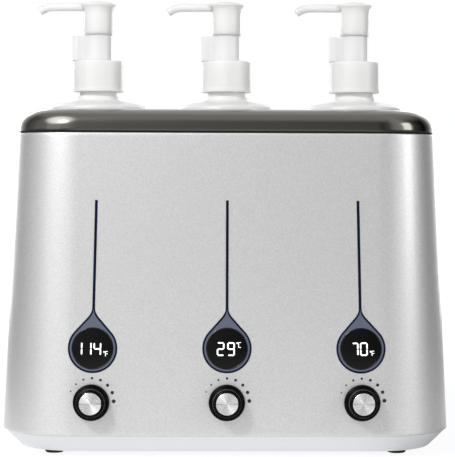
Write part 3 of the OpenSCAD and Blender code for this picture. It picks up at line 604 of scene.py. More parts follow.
def helper(name, mesh):
    """An object that is only needed while a piece is made."""
    made = bpy.data.objects.new(name, mesh)
    bpy.context.scene.collection.objects.link(made)
    return made


def carve(mesh, cutters, sharp=SHARP):
    """Cuts shapes out of a mesh one after another."""
    body = helper("carved", mesh)
    tools = []
    for cutter in cutters:
        tool = helper("cutter", mesh_of(cutter, "cutter"))
        cut = body.modifiers.new("Cut", "BOOLEAN")
        cut.operation = "DIFFERENCE"
        cut.solver = "EXACT"
        cut.object = tool
        tools.append(tool)
    result = baked(body, mesh.name)
    for made in [body, *tools]:
        bpy.data.objects.remove(made)
    result.set_sharp_from_angle(angle=math.radians(sharp))
    return result


def baked(made, name):
    """The evaluated shape of an object as a plain mesh."""
    bpy.context.view_layer.update()
    graph = bpy.context.evaluated_depsgraph_get()
    mesh = bpy.data.meshes.new_from_object(made.evaluated_get(graph))
    mesh.name = name
    return mesh


def joined(name, *meshes):
    """Several meshes as one."""
    shape = bmesh.new()
    for mesh in meshes:
        shape.from_mesh(mesh)
    whole = bpy.data.meshes.new(name)
    shape.to_mesh(whole)
    shape.free()
    return whole


def add_piece(name, made, body, slot, replaced=None, finishes=None):
    """Puts a shape or a mesh in the scene, riding on its body.

    It stands for the node that it replaces. Its finish is the one of its slot, unless others are given.
    """
    mesh = mesh_of(made, name) if isinstance(made, bmesh.types.BMesh) else made
    piece = helper(name, mesh)
    for finish in [slot] if finishes is None else finishes:
        mesh.materials.append(finish_of(finish))
    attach(piece, body)
    if replaced:
        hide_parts(replaced)


# Repeating shapes


class Tree(Shading):
    """A geometry tree with named inputs."""

    def __init__(self, name, inputs):
        self.group = bpy.data.node_groups.new(name, "GeometryNodeTree")
        super().__init__(self.group)
        interface = self.group.interface
        interface.new_socket("Geometry", in_out="INPUT", socket_type="NodeSocketGeometry")
        interface.new_socket("Geometry", in_out="OUTPUT", socket_type="NodeSocketGeometry")
        self.keys = {}
        for label, kind in inputs.items():
            item = interface.new_socket(label, in_out="INPUT", socket_type="NodeSocket" + kind)
            self.keys[label] = item.identifier
        self.entry = self.node("NodeGroupInput")

    def value(self, label):
        return self.entry.other(label)

    def close(self, instances):
        """Ends the tree in real faces with a material."""
        real = self.node("GeometryNodeRealizeInstances", {}, {"Geometry": instances})
        sockets = {"Geometry": real, "Material": self.value("Material")}
        self.node("NodeGroupOutput", {}, {"Geometry": self.node("GeometryNodeSetMaterial", {}, sockets)})

    def run(self, mesh, name, values):
        """Repeats a mesh and gives the result as a plain mesh."""
        made = helper(name, mesh)
        repeat = made.modifiers.new("Repeat", "NODES")
        repeat.node_group = self.group
        for label, value in values.items():
            repeat[self.keys[label]] = value
        result = baked(made, name)
        made.modifiers.remove(repeat)
        bpy.data.objects.remove(made)
        return result


def ring_tree():
    """Repeats a shape round a circle, clockwise from the top, growing from the first to the last."""
    inputs = {
        "Count": "Int",
        "Radius": "Float",
        "Start": "Float",
        "Step": "Float",
        "First Scale": "Float",
        "Last Scale": "Float",
        "Material": "Material",
    }
    tree = Tree("Ring of Shapes", inputs)
    index = tree.node("GeometryNodeInputIndex")
    turn = tree.value("Start") + index * tree.value("Step")
    sine = turn.sum("SINE", turn, 0.0)
    cosine = turn.sum("COSINE", turn, 0.0)
    place = {0: sine * tree.value("Radius"), 1: cosine * tree.value("Radius")}
    position = tree.node("ShaderNodeCombineXYZ", {}, place)
    points = tree.node("GeometryNodePoints", {}, {"Count": tree.value("Count"), "Position": position})
    share = index / (tree.value("Count") - 1.0)
    growth = tree.value("Last Scale") - tree.value("First Scale")
    scale = tree.value("First Scale") + growth * share
    sockets = {
        "Points": points,
        "Instance": tree.value("Geometry"),
        "Rotation": tree.node("ShaderNodeCombineXYZ", {}, {2: 0.0 - turn}),
        "Scale": tree.node("ShaderNodeCombineXYZ", {}, {0: scale, 1: scale, 2: 1.0}),
    }
    tree.close(tree.node("GeometryNodeInstanceOnPoints", {}, sockets))
    return tree


def corner_tree():
    """Repeats a shape at the four corners of a rectangle."""
    tree = Tree("Shapes at Corners", {"Width": "Float", "Depth": "Float", "Material": "Material"})
    sides = {"Size X": tree.value("Width"), "Size Y": tree.value("Depth")}
    grid = tree.node("GeometryNodeMeshGrid", {}, {**sides, "Vertices X": 2, "Vertices Y": 2})
    sockets = {"Points": grid, "Instance": tree.value("Geometry")}
    tree.close(tree.node("GeometryNodeInstanceOnPoints", {}, sockets))
    return tree


# Places


def case_lean(case):
    return math.atan((case.base_reach - case.top_reach) / (case.housing_top - case.housing_z))


def face_y(case, z):
    """Depth of the housing's front at a height, from the middle of the case."""
    return (z - case.housing_z) * math.tan(case_lean(case)) - case.corner_y - case.base_reach


def front_place(scene, column, drop=0.0):
    """A column's front: x to the right, y up the face, z out of it."""
    case, front = scene.warmer_case, scene.warmer_front
    spot = Vector((column * front.column_gap, face_y(case, front.window_z) + ROW_Y, front.window_z))
    tilt = Matrix.Rotation(math.pi / 2.0 - case_lean(case), 4, "X")
    turn = Matrix.Rotation(column * front.column_lean, 4, "Z")
    return Matrix.Translation(spot) @ tilt @ turn @ Matrix.Translation((0.0, -drop, 0.0))


def rear_place(case, z):
    """The housing's rear at a height, with z out of it."""
    spot = Matrix.Translation((0.0, ROW_Y - face_y(case, z), z))
    tilt = Matrix.Rotation(math.pi / 2.0 - case_lean(case), 4, "X")
    return spot @ Matrix.Rotation(math.pi, 4, "Z") @ tilt


def bottle_place(scene, column):
    return Matrix.Translation((column * scene.warmer_front.column_gap, ROW_Y, 0.0))


def turn_row(scene, profile, piece, body, slot, node, steps=96, closed=False):
    """Turns a piece on each bottle's axis. Braces in a name stand for the column's own name."""
    for name, column in COLUMNS.items():
        shape = bmesh.new()
        lathe(shape, profile, bottle_place(scene, column), steps, closed)
        add_piece(piece.format(name), shape, body.format(name), slot, node.format(name))


def case_ring(case, reach, z):
    """Outline of the case at a height, that far outside its corner rectangle."""
    ring = []
    ease = 2.0 * MM
    for quarter, (sx, sy) in enumerate(((1, -1), (1, 1), (-1, 1), (-1, -1))):
        corner = (sx * case.corner_x, sy * case.corner_y + ROW_Y)
        start = math.pi / 2.0 * (quarter - 1)
        ring += [Vector((x, y, z)) for x, y in arc(corner, reach, start, math.pi / 2.0, case.corner_steps)]
        # Points beside the corner keep the flat sides flat when they are shaded
        along = Vector((math.cos(start + math.pi), math.sin(start + math.pi), 0.0))
        run = 2.0 * (case.corner_y if quarter % 2 == 0 else case.corner_x)
        ring.append(ring[-1] + along * ease)
        ring.append(ring[-2] + along * (run - ease))
    return ring


def sweep_case(shape, case, profile, closed=False, caps=False, second=()):
    """Carries (reach, height) points round the case. Faces after the second points get the second finish."""
    rings = [case_ring(case, reach, z) for reach, z in profile]
    loft(shape, rings, closed=closed, low_cap=caps, high_cap=caps, second=second)


# Case


def drop_outline(front, grow, half_stem=None, top=None):
    """Outline of a drop with its stem. Without a top it ends where the stem would start."""
    radius = front.drop_r + grow
    half = front.stem_half + grow if half_stem is None else half_stem
    slope = math.tan(front.drop_flank)
    across = radius / math.cos(front.drop_flank)
    stem_y = (across - half) / slope
    bend_y = stem_y - front.drop_blend
    flank_end = (across - bend_y * slope, bend_y)
    points = arc((0.0, 0.0), radius, front.drop_flank, -math.pi - 2.0 * front.drop_flank, 64)
    side = bend(flank_end, (half, stem_y), (half, stem_y + front.drop_blend), 8)
    if top is not None:
        side.append((half, top + grow))
    points += [(-x, y) for x, y in side]
    points += side[::-1]
    return points


def make_housing(scene):
    case, front = scene.warmer_case, scene.warmer_front
    lean = math.tan(case_lean(case))
    foot, top, edge = case.housing_z, case.housing_top, case.edge
    inside_low, inside_high = case.base_reach - case.wall, case.top_reach - case.wall
    corners = [
        (inside_low, foot, 0.0),
        (case.base_reach, foot, 0.35 * MM),
        (case.top_reach, top, edge),
        (inside_high, top, 0.0),
    ]
    profile = rounded(corners, 4)
    # Rows beside the edges keep the wall's shading straight
    low = profile[5] + Vector((-2.0 * MM * lean, 2.0 * MM))
    high = profile[6] + Vector((2.0 * MM * lean, -2.0 * MM))
    profile[6:6] = [low, high]
    shape = bmesh.new()
    sweep_case(shape, case, profile, closed=True)
    drops, holes, sockets = bmesh.new(), bmesh.new(), bmesh.new()
    play = 0.1 * MM
    inside, outside = -5.0 * MM, 3.0 * MM
    drop = drop_outline(front, play, top=front.stem_top)
    module_hole, shaft_hole = circle(12.0 * MM, 48), circle(4.6 * MM, 48)
    for column in COLUMNS.values():
        place = front_place(scene, column)
        block(drops, drop, -front.inlay_depth, 2.0 * MM, place)
        block(holes, module_hole, inside, outside, place)
        block(holes, shaft_hole, inside, outside, front_place(scene, column, front.knob_drop))
    rear = rear_place(case, INLET_Z)
    block(holes, round_box(10.1 * MM, 6.1 * MM, 0.6 * MM), inside, outside, rear)
    block(sockets, round_box(12.6 * MM, 8.6 * MM, 0.9 * MM), -1.0 * MM, outside, rear)
    mesh = carve(mesh_of(shape, "painted_housing"), [drops, holes, sockets])
    add_piece("painted_housing", mesh, "case", "silver_paint", "housing_shell")


def make_cap(scene):
    case = scene.warmer_case
    centre = (case.cap_reach - case.cap_fillet, case.cap_arc)
    inner = case.cap_fillet - case.cap_wall
    flat = centre[0] - 1.0 * MM
    quarter = math.pi / 2.0
    deck = case.cap_arc + case.cap_fillet
    under = deck - case.cap_wall
    lip_out = case.top_reach - case.wall - 0.3 * MM
    lip_in = lip_out - 2.0 * MM
    lip_foot = case.housing_top - 6.0 * MM
    gap = case.cap_reach - 1.4 * MM
    turn_in = case.cap_arc - (case.cap_reach - case.cap_wall - lip_in)
    profile = [(flat, under), *arc(centre, inner, quarter, -quarter, 16)]
    corners = [
        (lip_in, turn_in, 0.0),
        (lip_in, lip_foot, 0.0),
        (lip_out, lip_foot, 0.0),
        (lip_out, case.housing_top, 0.0),
        (gap, case.housing_top, 0.0),
        (gap, case.cap_foot, 0.0),
        (case.cap_reach, case.cap_foot, 0.08 * MM),
        (case.cap_reach, case.cap_arc, 0.0),
    ]
    # The faces of the gap under the cap come after the lip's three lower corners. They get black rubber as
    # painted shade, so the gap shows dark
    painted_shade_row = len(profile) + 3
    profile += rounded(corners, 3)
    profile += arc(centre, case.cap_fillet, 0.0, quarter, 28)[1:]
    profile.append((flat, deck))
    shape = bmesh.new()
    sweep_case(shape, case, profile, caps=True, second=range(painted_shade_row, painted_shade_row + 3))
    cutter = bmesh.new()
    bevel = 0.6 * MM
    opening = [
        (case.opening, under - 2.0 * MM),
        (case.opening, deck - bevel),
        (case.opening + bevel / 2.0, deck - bevel / 4.0),
        (case.opening + 2.5 * bevel, deck + bevel),
    ]
    levels = [(circle(radius, 128), height) for radius, height in opening]
    for column in COLUMNS.values():
        prism(cutter, levels, bottle_place(scene, column))
    mesh = carve(mesh_of(shape, "chrome_cap", CAP_SHARP), [cutter], CAP_SHARP)
    # The second finish, black rubber, is painted shade on the faces of the gap under the cap
    add_piece("chrome_cap", mesh, "case", "dark_chrome", "top_cap", ["dark_chrome", "black_rubber"])


def make_base(scene):
    case = scene.warmer_case
    edge = case.base_reach - case.tray_groove
    foot = edge - (case.housing_z - case.tray_z)
    lip_out = case.base_reach - case.wall - 0.3 * MM
    lip_in = lip_out - 2.0 * MM
    floor = case.tray_z + 2.5 * MM
    rise = 6.0 * MM
    lean = math.tan(case_lean(case))
    corners = [
        (foot - 12.0 * MM, case.tray_z, 0.0),
        (foot, case.tray_z, 3.0 * MM),
        (edge, case.housing_z, 0.4 * MM),
        (lip_out, case.housing_z, 0.0),
        (lip_out - rise * lean, case.housing_z + rise, 0.0),
        (lip_in, case.housing_z + rise, 0.0),
        (lip_in, case.housing_z - 1.0 * MM, 0.0),
        (lip_in - (case.housing_z - 1.0 * MM - floor), floor, 0.0),
        (lip_in - 16.0 * MM, floor, 0.0),
    ]
    shape = bmesh.new()
    sweep_case(shape, case, rounded(corners, 8), caps=True)
    cutter = bmesh.new()
    below = -1.0 * MM
    foot_hole, screw_hole = circle(case.foot_d / 2.0 + 0.1 * MM, 48), circle(3.0 * MM, 32)
    screw_x, screw_y = 50.0 * MM, 46.0 * MM
    for sx in (-1, 1):
        for sy in (-1, 1):
            spot = Matrix.Translation((sx * case.foot_x, ROW_Y + sy * case.foot_y, case.tray_z))
            block(cutter, foot_hole, below, FOOT_SEAT, spot)
            spot = Matrix.Translation((sx * screw_x, ROW_Y + sy * screw_y, case.tray_z))
            block(cutter, screw_hole, below, 4.0 * MM, spot)
    mesh = carve(mesh_of(shape, "white_base"), [cutter])
    add_piece("white_base", mesh, "case", "white_plastic", "base_tray")


def make_feet(scene):
    case = scene.warmer_case
    radius = case.foot_d / 2.0
    corners = [
        (0.0, 0.0, 0.0),
        (radius - 0.4 * MM, 0.0, 0.8 * MM),
        (radius, 2.2 * MM, 0.6 * MM),
        (radius, case.tray_z + FOOT_SEAT, 0.0),
        (0.0, case.tray_z + FOOT_SEAT, 0.0),
    ]
    shape = bmesh.new()
    lathe(shape, rounded(corners), Matrix.Translation((0.0, ROW_Y, 0.0)), 48)
    values = {"Width": 2.0 * case.foot_x, "Depth": 2.0 * case.foot_y, "Material": finish_of("black_rubber")}
    mesh = corner_tree().run(mesh_of(shape, "foot"), "foot_set", values)
    add_piece("foot_set", mesh, "case", "black_rubber", "rubber_feet", ())


def make_inlet(scene):
    rear = rear_place(scene.warmer_case, INLET_Z)
    shape = bmesh.new()
    rim = round_box(12.5 * MM, 8.5 * MM, 0.8 * MM)
    rim_edge = round_box(12.2 * MM, 8.2 * MM, 0.6 * MM)
    shank = round_box(10.0 * MM, 6.0 * MM, 0.5 * MM)
    levels = [(shank, -16.0 * MM), (shank, -1.0 * MM), (rim, -1.0 * MM), (rim, -0.3 * MM), (rim_edge, 0.0)]
    prism(shape, levels, rear)
    cutter = bmesh.new()
    # The socket is a figure of eight about its two pins
    pin_x, lobe_r, waist = 4.3 * MM, 4.0 * MM, math.radians(62.0)
    lobe = arc((pin_x, 0.0), lobe_r, waist - math.pi, 2.0 * (math.pi - waist), 32)
    block(cutter, lobe + [(-x, -y) for x, y in lobe], -11.0 * MM, 2.0 * MM, rear)
    mesh = carve(mesh_of(shape, "inlet_socket"), [cutter])
    add_piece("inlet_socket", mesh, "case", "inlet_black", "power_inlet")
    pins = bmesh.new()
    profile = rounded(scaled([(0, -12, 0), (1.2, -12, 0), (1.2, -2, 0.9), (0, -2, 0)]))
    for side in (-1, 1):
        lathe(pins, profile, rear @ Matrix.Translation((side * pin_x, 0.0, 0.0)), 24)
    add_piece("inlet_pins", pins, "case", "steel")


def make_cups(scene):
    corners = [
        (0, 112.3, 0), (36, 112.3, 2), (36, 230.5, 0), (40.5, 230.5, 0.3), (40.5, 231.9, 0.3),
        (34.6, 231.9, 0.6), (34.6, 113.7, 1), (0, 113.7, 0),
    ]
    turn_row(scene, rounded(scaled(corners)), "cup_{}", "case", "cup_aluminium", "heating_cup_{}")


# Displays and knobs


def make_drops(scene):
    front = scene.warmer_front
    proud = front.inlay_proud
    edge = 0.2 * MM
    sunk = proud - 0.1 * MM
    border, face = [], []
    for grow, height in ((0.0, -front.inlay_depth), (0.0, sunk - edge), (-edge, sunk)):
        border.append((drop_outline(front, grow, top=front.stem_top), height))
    for inset, height in ((0.0, 0.0), (0.0, proud - 0.08 * MM), (0.1 * MM, proud)):
        face.append((drop_outline(front, -front.border - inset, 0.1 * MM), height))
    window = circle(front.window_r + 0.1 * MM, 128)
    for name, column in COLUMNS.items():
        place = front_place(scene, column)
        for piece, levels, finish, node in (
            ("drop_border_" + name, border, "navy_plastic", "display_bezel_" + name),
            ("drop_face_" + name, face, "slate_plastic", None),
        ):
            shape, hole = bmesh.new(), bmesh.new()
            prism(shape, levels, place)
            block(hole, window, -3.0 * MM, 3.0 * MM, place)
            mesh = carve(mesh_of(shape, piece), [hole])
            add_piece(piece, mesh, "case", "slate_plastic", node, [finish])


# Lit strokes of a digit, lettered clockwise from the top with g in the middle
STROKES = {"0": "abcdef", "1": "bc", "2": "abged", "4": "fgbc", "7": "abc", "9": "abcdfg"}
# Digits as (digit, left edge, width) in millimetres, with their height and the height of their middle,
# then the unit's letter, its left edge and the height of its foot
READINGS = {
    "left": ((("1", -12.0, 5.2), ("1", -5.8, 5.2), ("4", 0.6, 5.2)), 9.1, -0.3, "F", 7.2, -5.3),
    "middle": ((("2", -6.8, 5.1), ("9", 0.2, 5.1)), 9.2, -0.3, "C", 6.3, 0.6),
    "right": ((("7", -6.2, 4.5), ("0", -0.7, 5.2)), 9.0, -0.2, "F", 5.8, -5.1),
}


def stroke_bar(start, end, width):
    """Outline of a stroke with pointed, slightly clipped ends."""
    first, last = Vector(start), Vector(end)
    along = (last - first).normalized()
    across = Vector((-along.y, along.x)) * width / 2.0
    taper = along * width * 0.42
    tip = across * 0.35
    corners = [
        first + tip, first + taper + across, last - taper + across, last + tip,
        last - tip, last - taper - across, first + taper - across, first - tip,
    ]
    return [tuple(corner) for corner in corners[::-1]]


def digit_bars(digit, left, width, height, middle, stroke):
    """Outlines of a digit's lit strokes."""
    half = stroke / 2.0
    x0, x1 = left + half, left + width - half
    y0, y1, y2 = middle - height / 2.0 + half, middle, middle + height / 2.0 - half
    gap = 0.16 * MM
    ends = {
        "a": ((x0 + gap, y2), (x1 - gap, y2)),
        "b": ((x1, y2 - gap), (x1, y1 + gap)),
        "c": ((x1, y1 - gap), (x1, y0 + gap)),
        "d": ((x0 + gap, y0), (x1 - gap, y0)),
        "e": ((x0, y1 - gap), (x0, y0 + gap)),
        "f": ((x0, y2 - gap), (x0, y1 + gap)),
        "g": ((x0 + gap, y1), (x1 - gap, y1)),
    }
    return [stroke_bar(*ends[letter], stroke) for letter in STROKES[digit]]


def unit_bars(letter, left, foot):
    """Outlines of the letter of a temperature unit, without its ring."""
    wide, high, stroke = 2.0 * MM, 3.7 * MM, 0.40 * MM
    half = stroke / 2.0
    x0, x1 = left + 1.3 * MM + half, left + 1.3 * MM + wide - half
    y0, y2 = foot + half, foot + high - half
    y1 = (y0 + y2) / 2.0
    lines = [((x0, y0), (x0, y2)), ((x0, y2), (x1, y2))]
    lines.append(((x0, y1), (x1, y1)) if letter == "F" else ((x0, y0), (x1, y0)))
    return [stroke_bar(start, end, stroke) for start, end in lines]


def make_displays(scene):
    front = scene.warmer_front
    low, high = front.window_top - 0.02 * MM, front.window_top + 0.05 * MM
    for name, column in COLUMNS.items():
        place = front_place(scene, column)
        lens = bmesh.new()
        corners = [
            (0.0, -front.inlay_depth, 0.0),
            (front.window_r, -front.inlay_depth, 0.0),
            (front.window_r, front.window_top, 0.45 * MM),
            (0.0, front.window_top, 0.0),
        ]
        lathe(lens, rounded(corners, 6), place, 128)
        add_piece("lens_" + name, lens, "case", "window_black", "display_window_" + name)
        bead = bmesh.new()
        rim = [(front.window_r + 0.15 * MM + x, 0.25 * MM + y) for x, y in circle(0.4 * MM, 16)]
        lathe(bead, rim, place, 128, closed=True)
        add_piece("lens_bead_" + name, bead, "case", "window_black", finishes=["bead_black"])
        digits, height, middle, letter, unit_x, unit_y = READINGS[name]
        bars = []
        for digit, left, width in digits:
            bars += digit_bars(digit, left * MM, width * MM, height * MM, middle * MM, front.stroke)
        bars += unit_bars(letter, unit_x * MM, unit_y * MM)
        strokes = bmesh.new()
        for bar in bars:
            block(strokes, bar, low, high, place)
        ring_place = place @ Matrix.Translation(((unit_x + 0.6) * MM, (unit_y + 3.1) * MM, 0.0))
        inner, outer = 0.26 * MM, 0.58 * MM
        ring = [(inner, low), (outer, low), (outer, high), (inner, high)]
        lathe(strokes, ring, ring_place, 20, closed=True)
        add_piece("strokes_" + name, strokes, "case", "window_black", finishes=["lit_strokes"])


def make_dots(scene, tree):
    front = scene.warmer_front
    for name, column in COLUMNS.items():
        shape = bmesh.new()
        disc = circle(0.5, 24)
        inset = circle(0.46, 24)
        prism(shape, [(disc, -0.02 * MM), (disc, 0.03 * MM), (inset, 0.05 * MM)], Matrix())
        values = {
            "Count": front.dot_count,
            "Radius": front.dot_circle,
            "Start": front.dot_start,
            "Step": front.dot_step,
            "First Scale": front.dot_first,
            "Last Scale": front.dot_last,
            "Material": finish_of("print_ink"),
        }
        mesh = tree.run(mesh_of(shape, "dot"), "dots_" + name, values)
        mesh.transform(front_place(scene, column, front.dot_drop))
        add_piece("dots_" + name, mesh, "case", "module_black", finishes=())


# Profile of a knob without its ribs, from the well round the outside to the cap's seat, in millimetres
KNOB_CORE = (
    (3.05, 2.5, 0), (7.8, 4.1, 0), (7.8, 1.0, 0.2), (12.3, 1.0, 0.3), (12.1, 3.2, 0.7),
    (11.2, 3.7, 0.3), (11.0, 4.5, 0.4), (10.1, 4.8, 0.3), (9.2, 11.9, 0.4), (8.7, 12.3, 0.2),
    (8.6, 13.2, 0.4), (7.7, 13.6, 0.3), (7.45, 13.6, 0.1), (7.45, 12.6, 0), (3.05, 12.6, 0),
)
# Levels of a rib as (radius, height, half width, rise) in millimetres
RIB_LEVELS = (
    (10.0, 4.7, 0.5, 0.35),
    (9.95, 5.2, 0.5, 0.4),
    (9.2, 11.2, 0.46, 0.4),
    (9.1, 11.7, 0.4, 0.3),
    (9.0, 11.95, 0.25, 0.1),
)


def make_rib():
    """One rib of a knob, at twelve o'clock."""
    rings = []
    for radius, height, half, rise in RIB_LEVELS:
        side = [(half, -0.5), (half * 0.9, rise * 0.4), (half * 0.5, rise)]
        outline = side + [(-x, y) for x, y in side[::-1]]
        rings.append([Vector((x, radius + y, height)) * MM for x, y in outline])
    shape = bmesh.new()
    loft(shape, rings, low_cap=True, high_cap=True)
    return mesh_of(shape, "rib", RIB_SHARP)


def make_knobs(scene, tree):
    front = scene.warmer_front
    for name, column in COLUMNS.items():
        place = front_place(scene, column, front.knob_drop)
        values = {
            "Count": front.rib_count,
            "Radius": 0.0,
            "Start": 0.0,
            "Step": 2.0 * math.pi / front.rib_count,
            "First Scale": 1.0,
            "Last Scale": 1.0,
            "Material": finish_of("knob_black"),
        }
        ribs = tree.run(make_rib(), "ribs_" + name, values)
        core = bmesh.new()
        lathe(core, rounded(scaled(KNOB_CORE)), Matrix(), closed=True)
        mesh = joined("ribbed_knob_" + name, mesh_of(core, "core"), ribs)
        mesh.transform(place)
        add_piece("ribbed_knob_" + name, mesh, "knob_" + name, "knob_black", "knob_body_" + name)
        cap = bmesh.new()
        lathe(cap, spun_profile(), place)
        mesh = mesh_of(cap, "spun_cap_" + name, SPUN_SHARP)
        add_piece("spun_cap_" + name, mesh, "knob_" + name, "knob_aluminium", "knob_cap_" + name)


def spun_profile():
    """Profile of a knob's metal cap, with the fine turned rings that give it its crossed glint."""
    radius, low, high = 7.35, 12.6, 14.0
    pitch, depth, points = 0.24, 0.033, 8
    rings = 29
    start = radius - 0.3
    profile = [(0.0, low), (radius, low), (radius, high - 0.3), (radius - 0.08, high - 0.1), (start, high)]
    for i in range(1, rings * points):
        r = start - pitch * i / points
        across = 2.0 * (i % points) / points - 1.0
        profile.append((r, high - depth * (1.0 - across * across)))
    profile.append((0.0, high))
    return scaled(profile)


# Bottles and pumps


def make_bottles(scene):
    pump = scene.warmer_pump
    r, wall, edge = pump.bottle_r, pump.bottle_wall, pump.shoulder_edge
    bore = pump.neck_r - 2.0 * MM
    corners = [
        (0.0, pump.bottle_z, 0.0),
        (r, pump.bottle_z, 2.0 * MM),
        (r, pump.shoulder_z, edge),
        (pump.crown_r, pump.crown_z, 16.0 * MM),
        (pump.bead_r + 1.0 * MM, pump.neck_z - 0.1 * MM, 0.8 * MM),
        (pump.bead_r, pump.neck_z + 0.4 * MM, 0.2 * MM),
        (pump.bead_r, pump.bead_top, 0.5 * MM),
        (pump.neck_r, pump.bead_top, 0.3 * MM),
        (pump.neck_r, pump.neck_top, 0.3 * MM),
        (bore, pump.neck_top, 0.2 * MM),
        (bore, pump.neck_z - 1.4 * MM, 0.5 * MM),
        (r - wall, pump.shoulder_z - wall, 1.8 * MM),
        (r - wall, pump.bottle_z + wall, 1.2 * MM),
        (0.0, pump.bottle_z + wall, 0.0),
    ]
    profile = rounded(corners, 6)
    turn_row(scene, profile, "bottle_shell_{}", "bottle_{}", "bottle_plastic", "bottle_{}", 128)


def make_collars(scene):
    pump = scene.warmer_pump
    r = pump.collar_r
    inside = pump.neck_r + 0.3 * MM
    hole = pump.stem_r + 0.3 * MM
    roof = pump.collar_top - 3.0 * MM
    corners = [
        (inside, pump.collar_z + 6.0 * MM, 0.0),
        (inside, pump.collar_z, 0.3 * MM),
        (r + 0.15 * MM, pump.collar_z, 0.5 * MM),
        (r + 0.15 * MM, pump.collar_z + 1.9 * MM, 0.4 * MM),
        (r, pump.collar_z + 3.2 * MM, 0.8 * MM),
        (r - 0.2 * MM, pump.collar_top, 0.8 * MM),
        (hole, pump.collar_top, 0.3 * MM),
        (hole, roof, 0.0),
        (inside, roof, 0.0),
    ]
    profile = rounded(corners, 6)
    turn_row(scene, profile, "collar_ring_{}", "collar_{}", "pump_white", "pump_collar_{}", 128, True)


def make_stems(scene):
    pump = scene.warmer_pump
    r, bore, end = pump.stem_r, 1.6 * MM, pump.head_z + 10.9 * MM
    foot, piston = 236.1 * MM, 6.2 * MM
    corners = [
        (bore, foot, 0.0),
        (piston, foot, 0.4 * MM),
        (piston, 244.1 * MM, 0.4 * MM),
        (r, 245.4 * MM, 0.0),
        (r, end, 0.0),
        (bore, end, 0.0),
    ]
    turn_row(scene, rounded(corners), "stem_{}", "plunger_{}", "pump_white", "pump_stem_{}", 64, True)


def spout_rings(pump):
    """Circles along a spout, from near the stem's axis to its bent end and back into its bore."""
    z = pump.lip_z - pump.spout_drop
    start = 6.0 * MM
    run = pump.spout_run - start
    side = Vector((0.0, 1.0, 0.0))
    upright = Vector((0.0, 0.0, 1.0))
    stations = [(Vector((-start - run * i / 6, 0.0, z)), upright) for i in range(6)]
    centre = Vector((-pump.spout_run, 0.0, z - pump.spout_bend))
    for i in range(19):
        turn = pump.spout_angle * i / 18
        up = Vector((-math.sin(turn), 0.0, math.cos(turn)))
        stations.append((centre + up * pump.spout_bend, up))
    rings = []
    for spot, up in stations:
        rings.append([spot + up * x + side * y for x, y in circle(pump.spout_r, 48)])
    tip = rings[-1]
    out = up.cross(side)
    rim = [spot + (point - spot) * 0.88 for point in tip]
    bore = [spot + (point - spot) * pump.spout_bore / pump.spout_r for point in tip]
    deep = [point - out * 6.0 * MM for point in bore]
    rings[-1] = [point - out * 0.3 * MM for point in tip]
    return [*rings, rim, bore, deep]


def make_heads(scene):
    pump = scene.warmer_pump
    r, lip, foot, top = pump.head_r, pump.lip_r, pump.head_z, pump.lip_z
    socket, bore = pump.stem_r + 0.05 * MM, 1.5 * MM
    roof, seat = foot + 13.0 * MM, foot + 11.2 * MM
    skirt, flare = foot - 0.95 * MM, top - 7.0 * MM
    rim, crest = (lip - 1.5 * MM, top + 0.55 * MM), top + pump.dome
    # The bore above the stem's socket is closed by a flat roof
    profile = [(0.0, roof), (bore, roof), (bore, seat), (socket, seat)]
    profile += rounded([
        (socket, foot, 0.0),
        (r - 0.3 * MM, foot, 0.0),
        (r - 0.28 * MM, skirt, 0.08 * MM),
        (r, skirt, 0.15 * MM),
        (r, flare, 0.0),
    ])
    profile += bend((r, flare), (r, top - 2.0 * MM), (lip, top - 0.5 * MM), 10)[1:]
    profile += rounded([(lip, top - 0.5 * MM, 0.0), (lip, top + 0.25 * MM, 0.35 * MM), (*rim, 0.0)])[1:]
    profile += bend(rim, (lip / 2.0, crest), (0.0, crest), 10)[1:]
    rings = spout_rings(pump)
    for name, column in COLUMNS.items():
        place = bottle_place(scene, column)
        head, spout = bmesh.new(), bmesh.new()
        lathe(head, profile, place, 128)
        loft(spout, [[place @ point for point in ring] for ring in rings], low_cap=True, high_cap=True)
        mesh = joined("head_and_spout_" + name, mesh_of(head, "head"), mesh_of(spout, "spout"))
        add_piece("head_and_spout_" + name, mesh, "head_" + name, "pump_white", "pump_head_" + name)


def clip_outline(pump, inset):
    """Outline of a lock clip: a ring open to the right, with a web and a grip on the left."""
    slot = pump.stem_r + 0.3 * MM
    r = pump.clip_r - inset
    half_web = 5.4 * MM
    mouth = math.asin(slot / r)
    web = math.asin(half_web / r)
    arm = arc((0.0, 0.0), r, mouth, math.pi - web - mouth, 32)
    grip, grip_in, half_grip = pump.clip_grip, pump.clip_grip - 4.2 * MM, 6.0 * MM
    arm += [(-grip_in, half_web), (-grip_in, half_grip), (-grip, half_grip)]
    outline = arm + [(x, -y) for x, y in arm[::-1]]
    return outline + arc((0.0, 0.0), slot, -math.pi / 2.0, -math.pi, 24)


def make_clips(scene):
    pump = scene.warmer_pump
    low, high = pump.collar_top + 0.3 * MM, pump.head_z - 1.0 * MM
    full, edge, rim = [clip_outline(pump, inset * MM) for inset in (0.0, 0.2, 0.25)]
    step = high - 0.78 * MM
    levels = [(edge, low), (full, low + 0.3 * MM), (full, step - 0.15 * MM), (rim, step), (rim, high)]
    inner, outer = pump.clip_r - 0.2 * MM, pump.clip_grip + 3.0 * MM
    above = high + 1.0 * MM
    for name, column in COLUMNS.items():
        shape = bmesh.new()
        place = bottle_place(scene, column)
        prism(shape, levels, place)
        # The web and the grip end below the ring's top, clear of the head when it is pressed
        room = bmesh.new()
        lathe(room, [(inner, step), (outer, step), (outer, above), (inner, above)], place, closed=True)
        mesh = carve(mesh_of(shape, "clip_piece_" + name), [room])
        add_piece("clip_piece_" + name, mesh, "clip_" + name, "clip_plastic", "lock_clip_" + name)


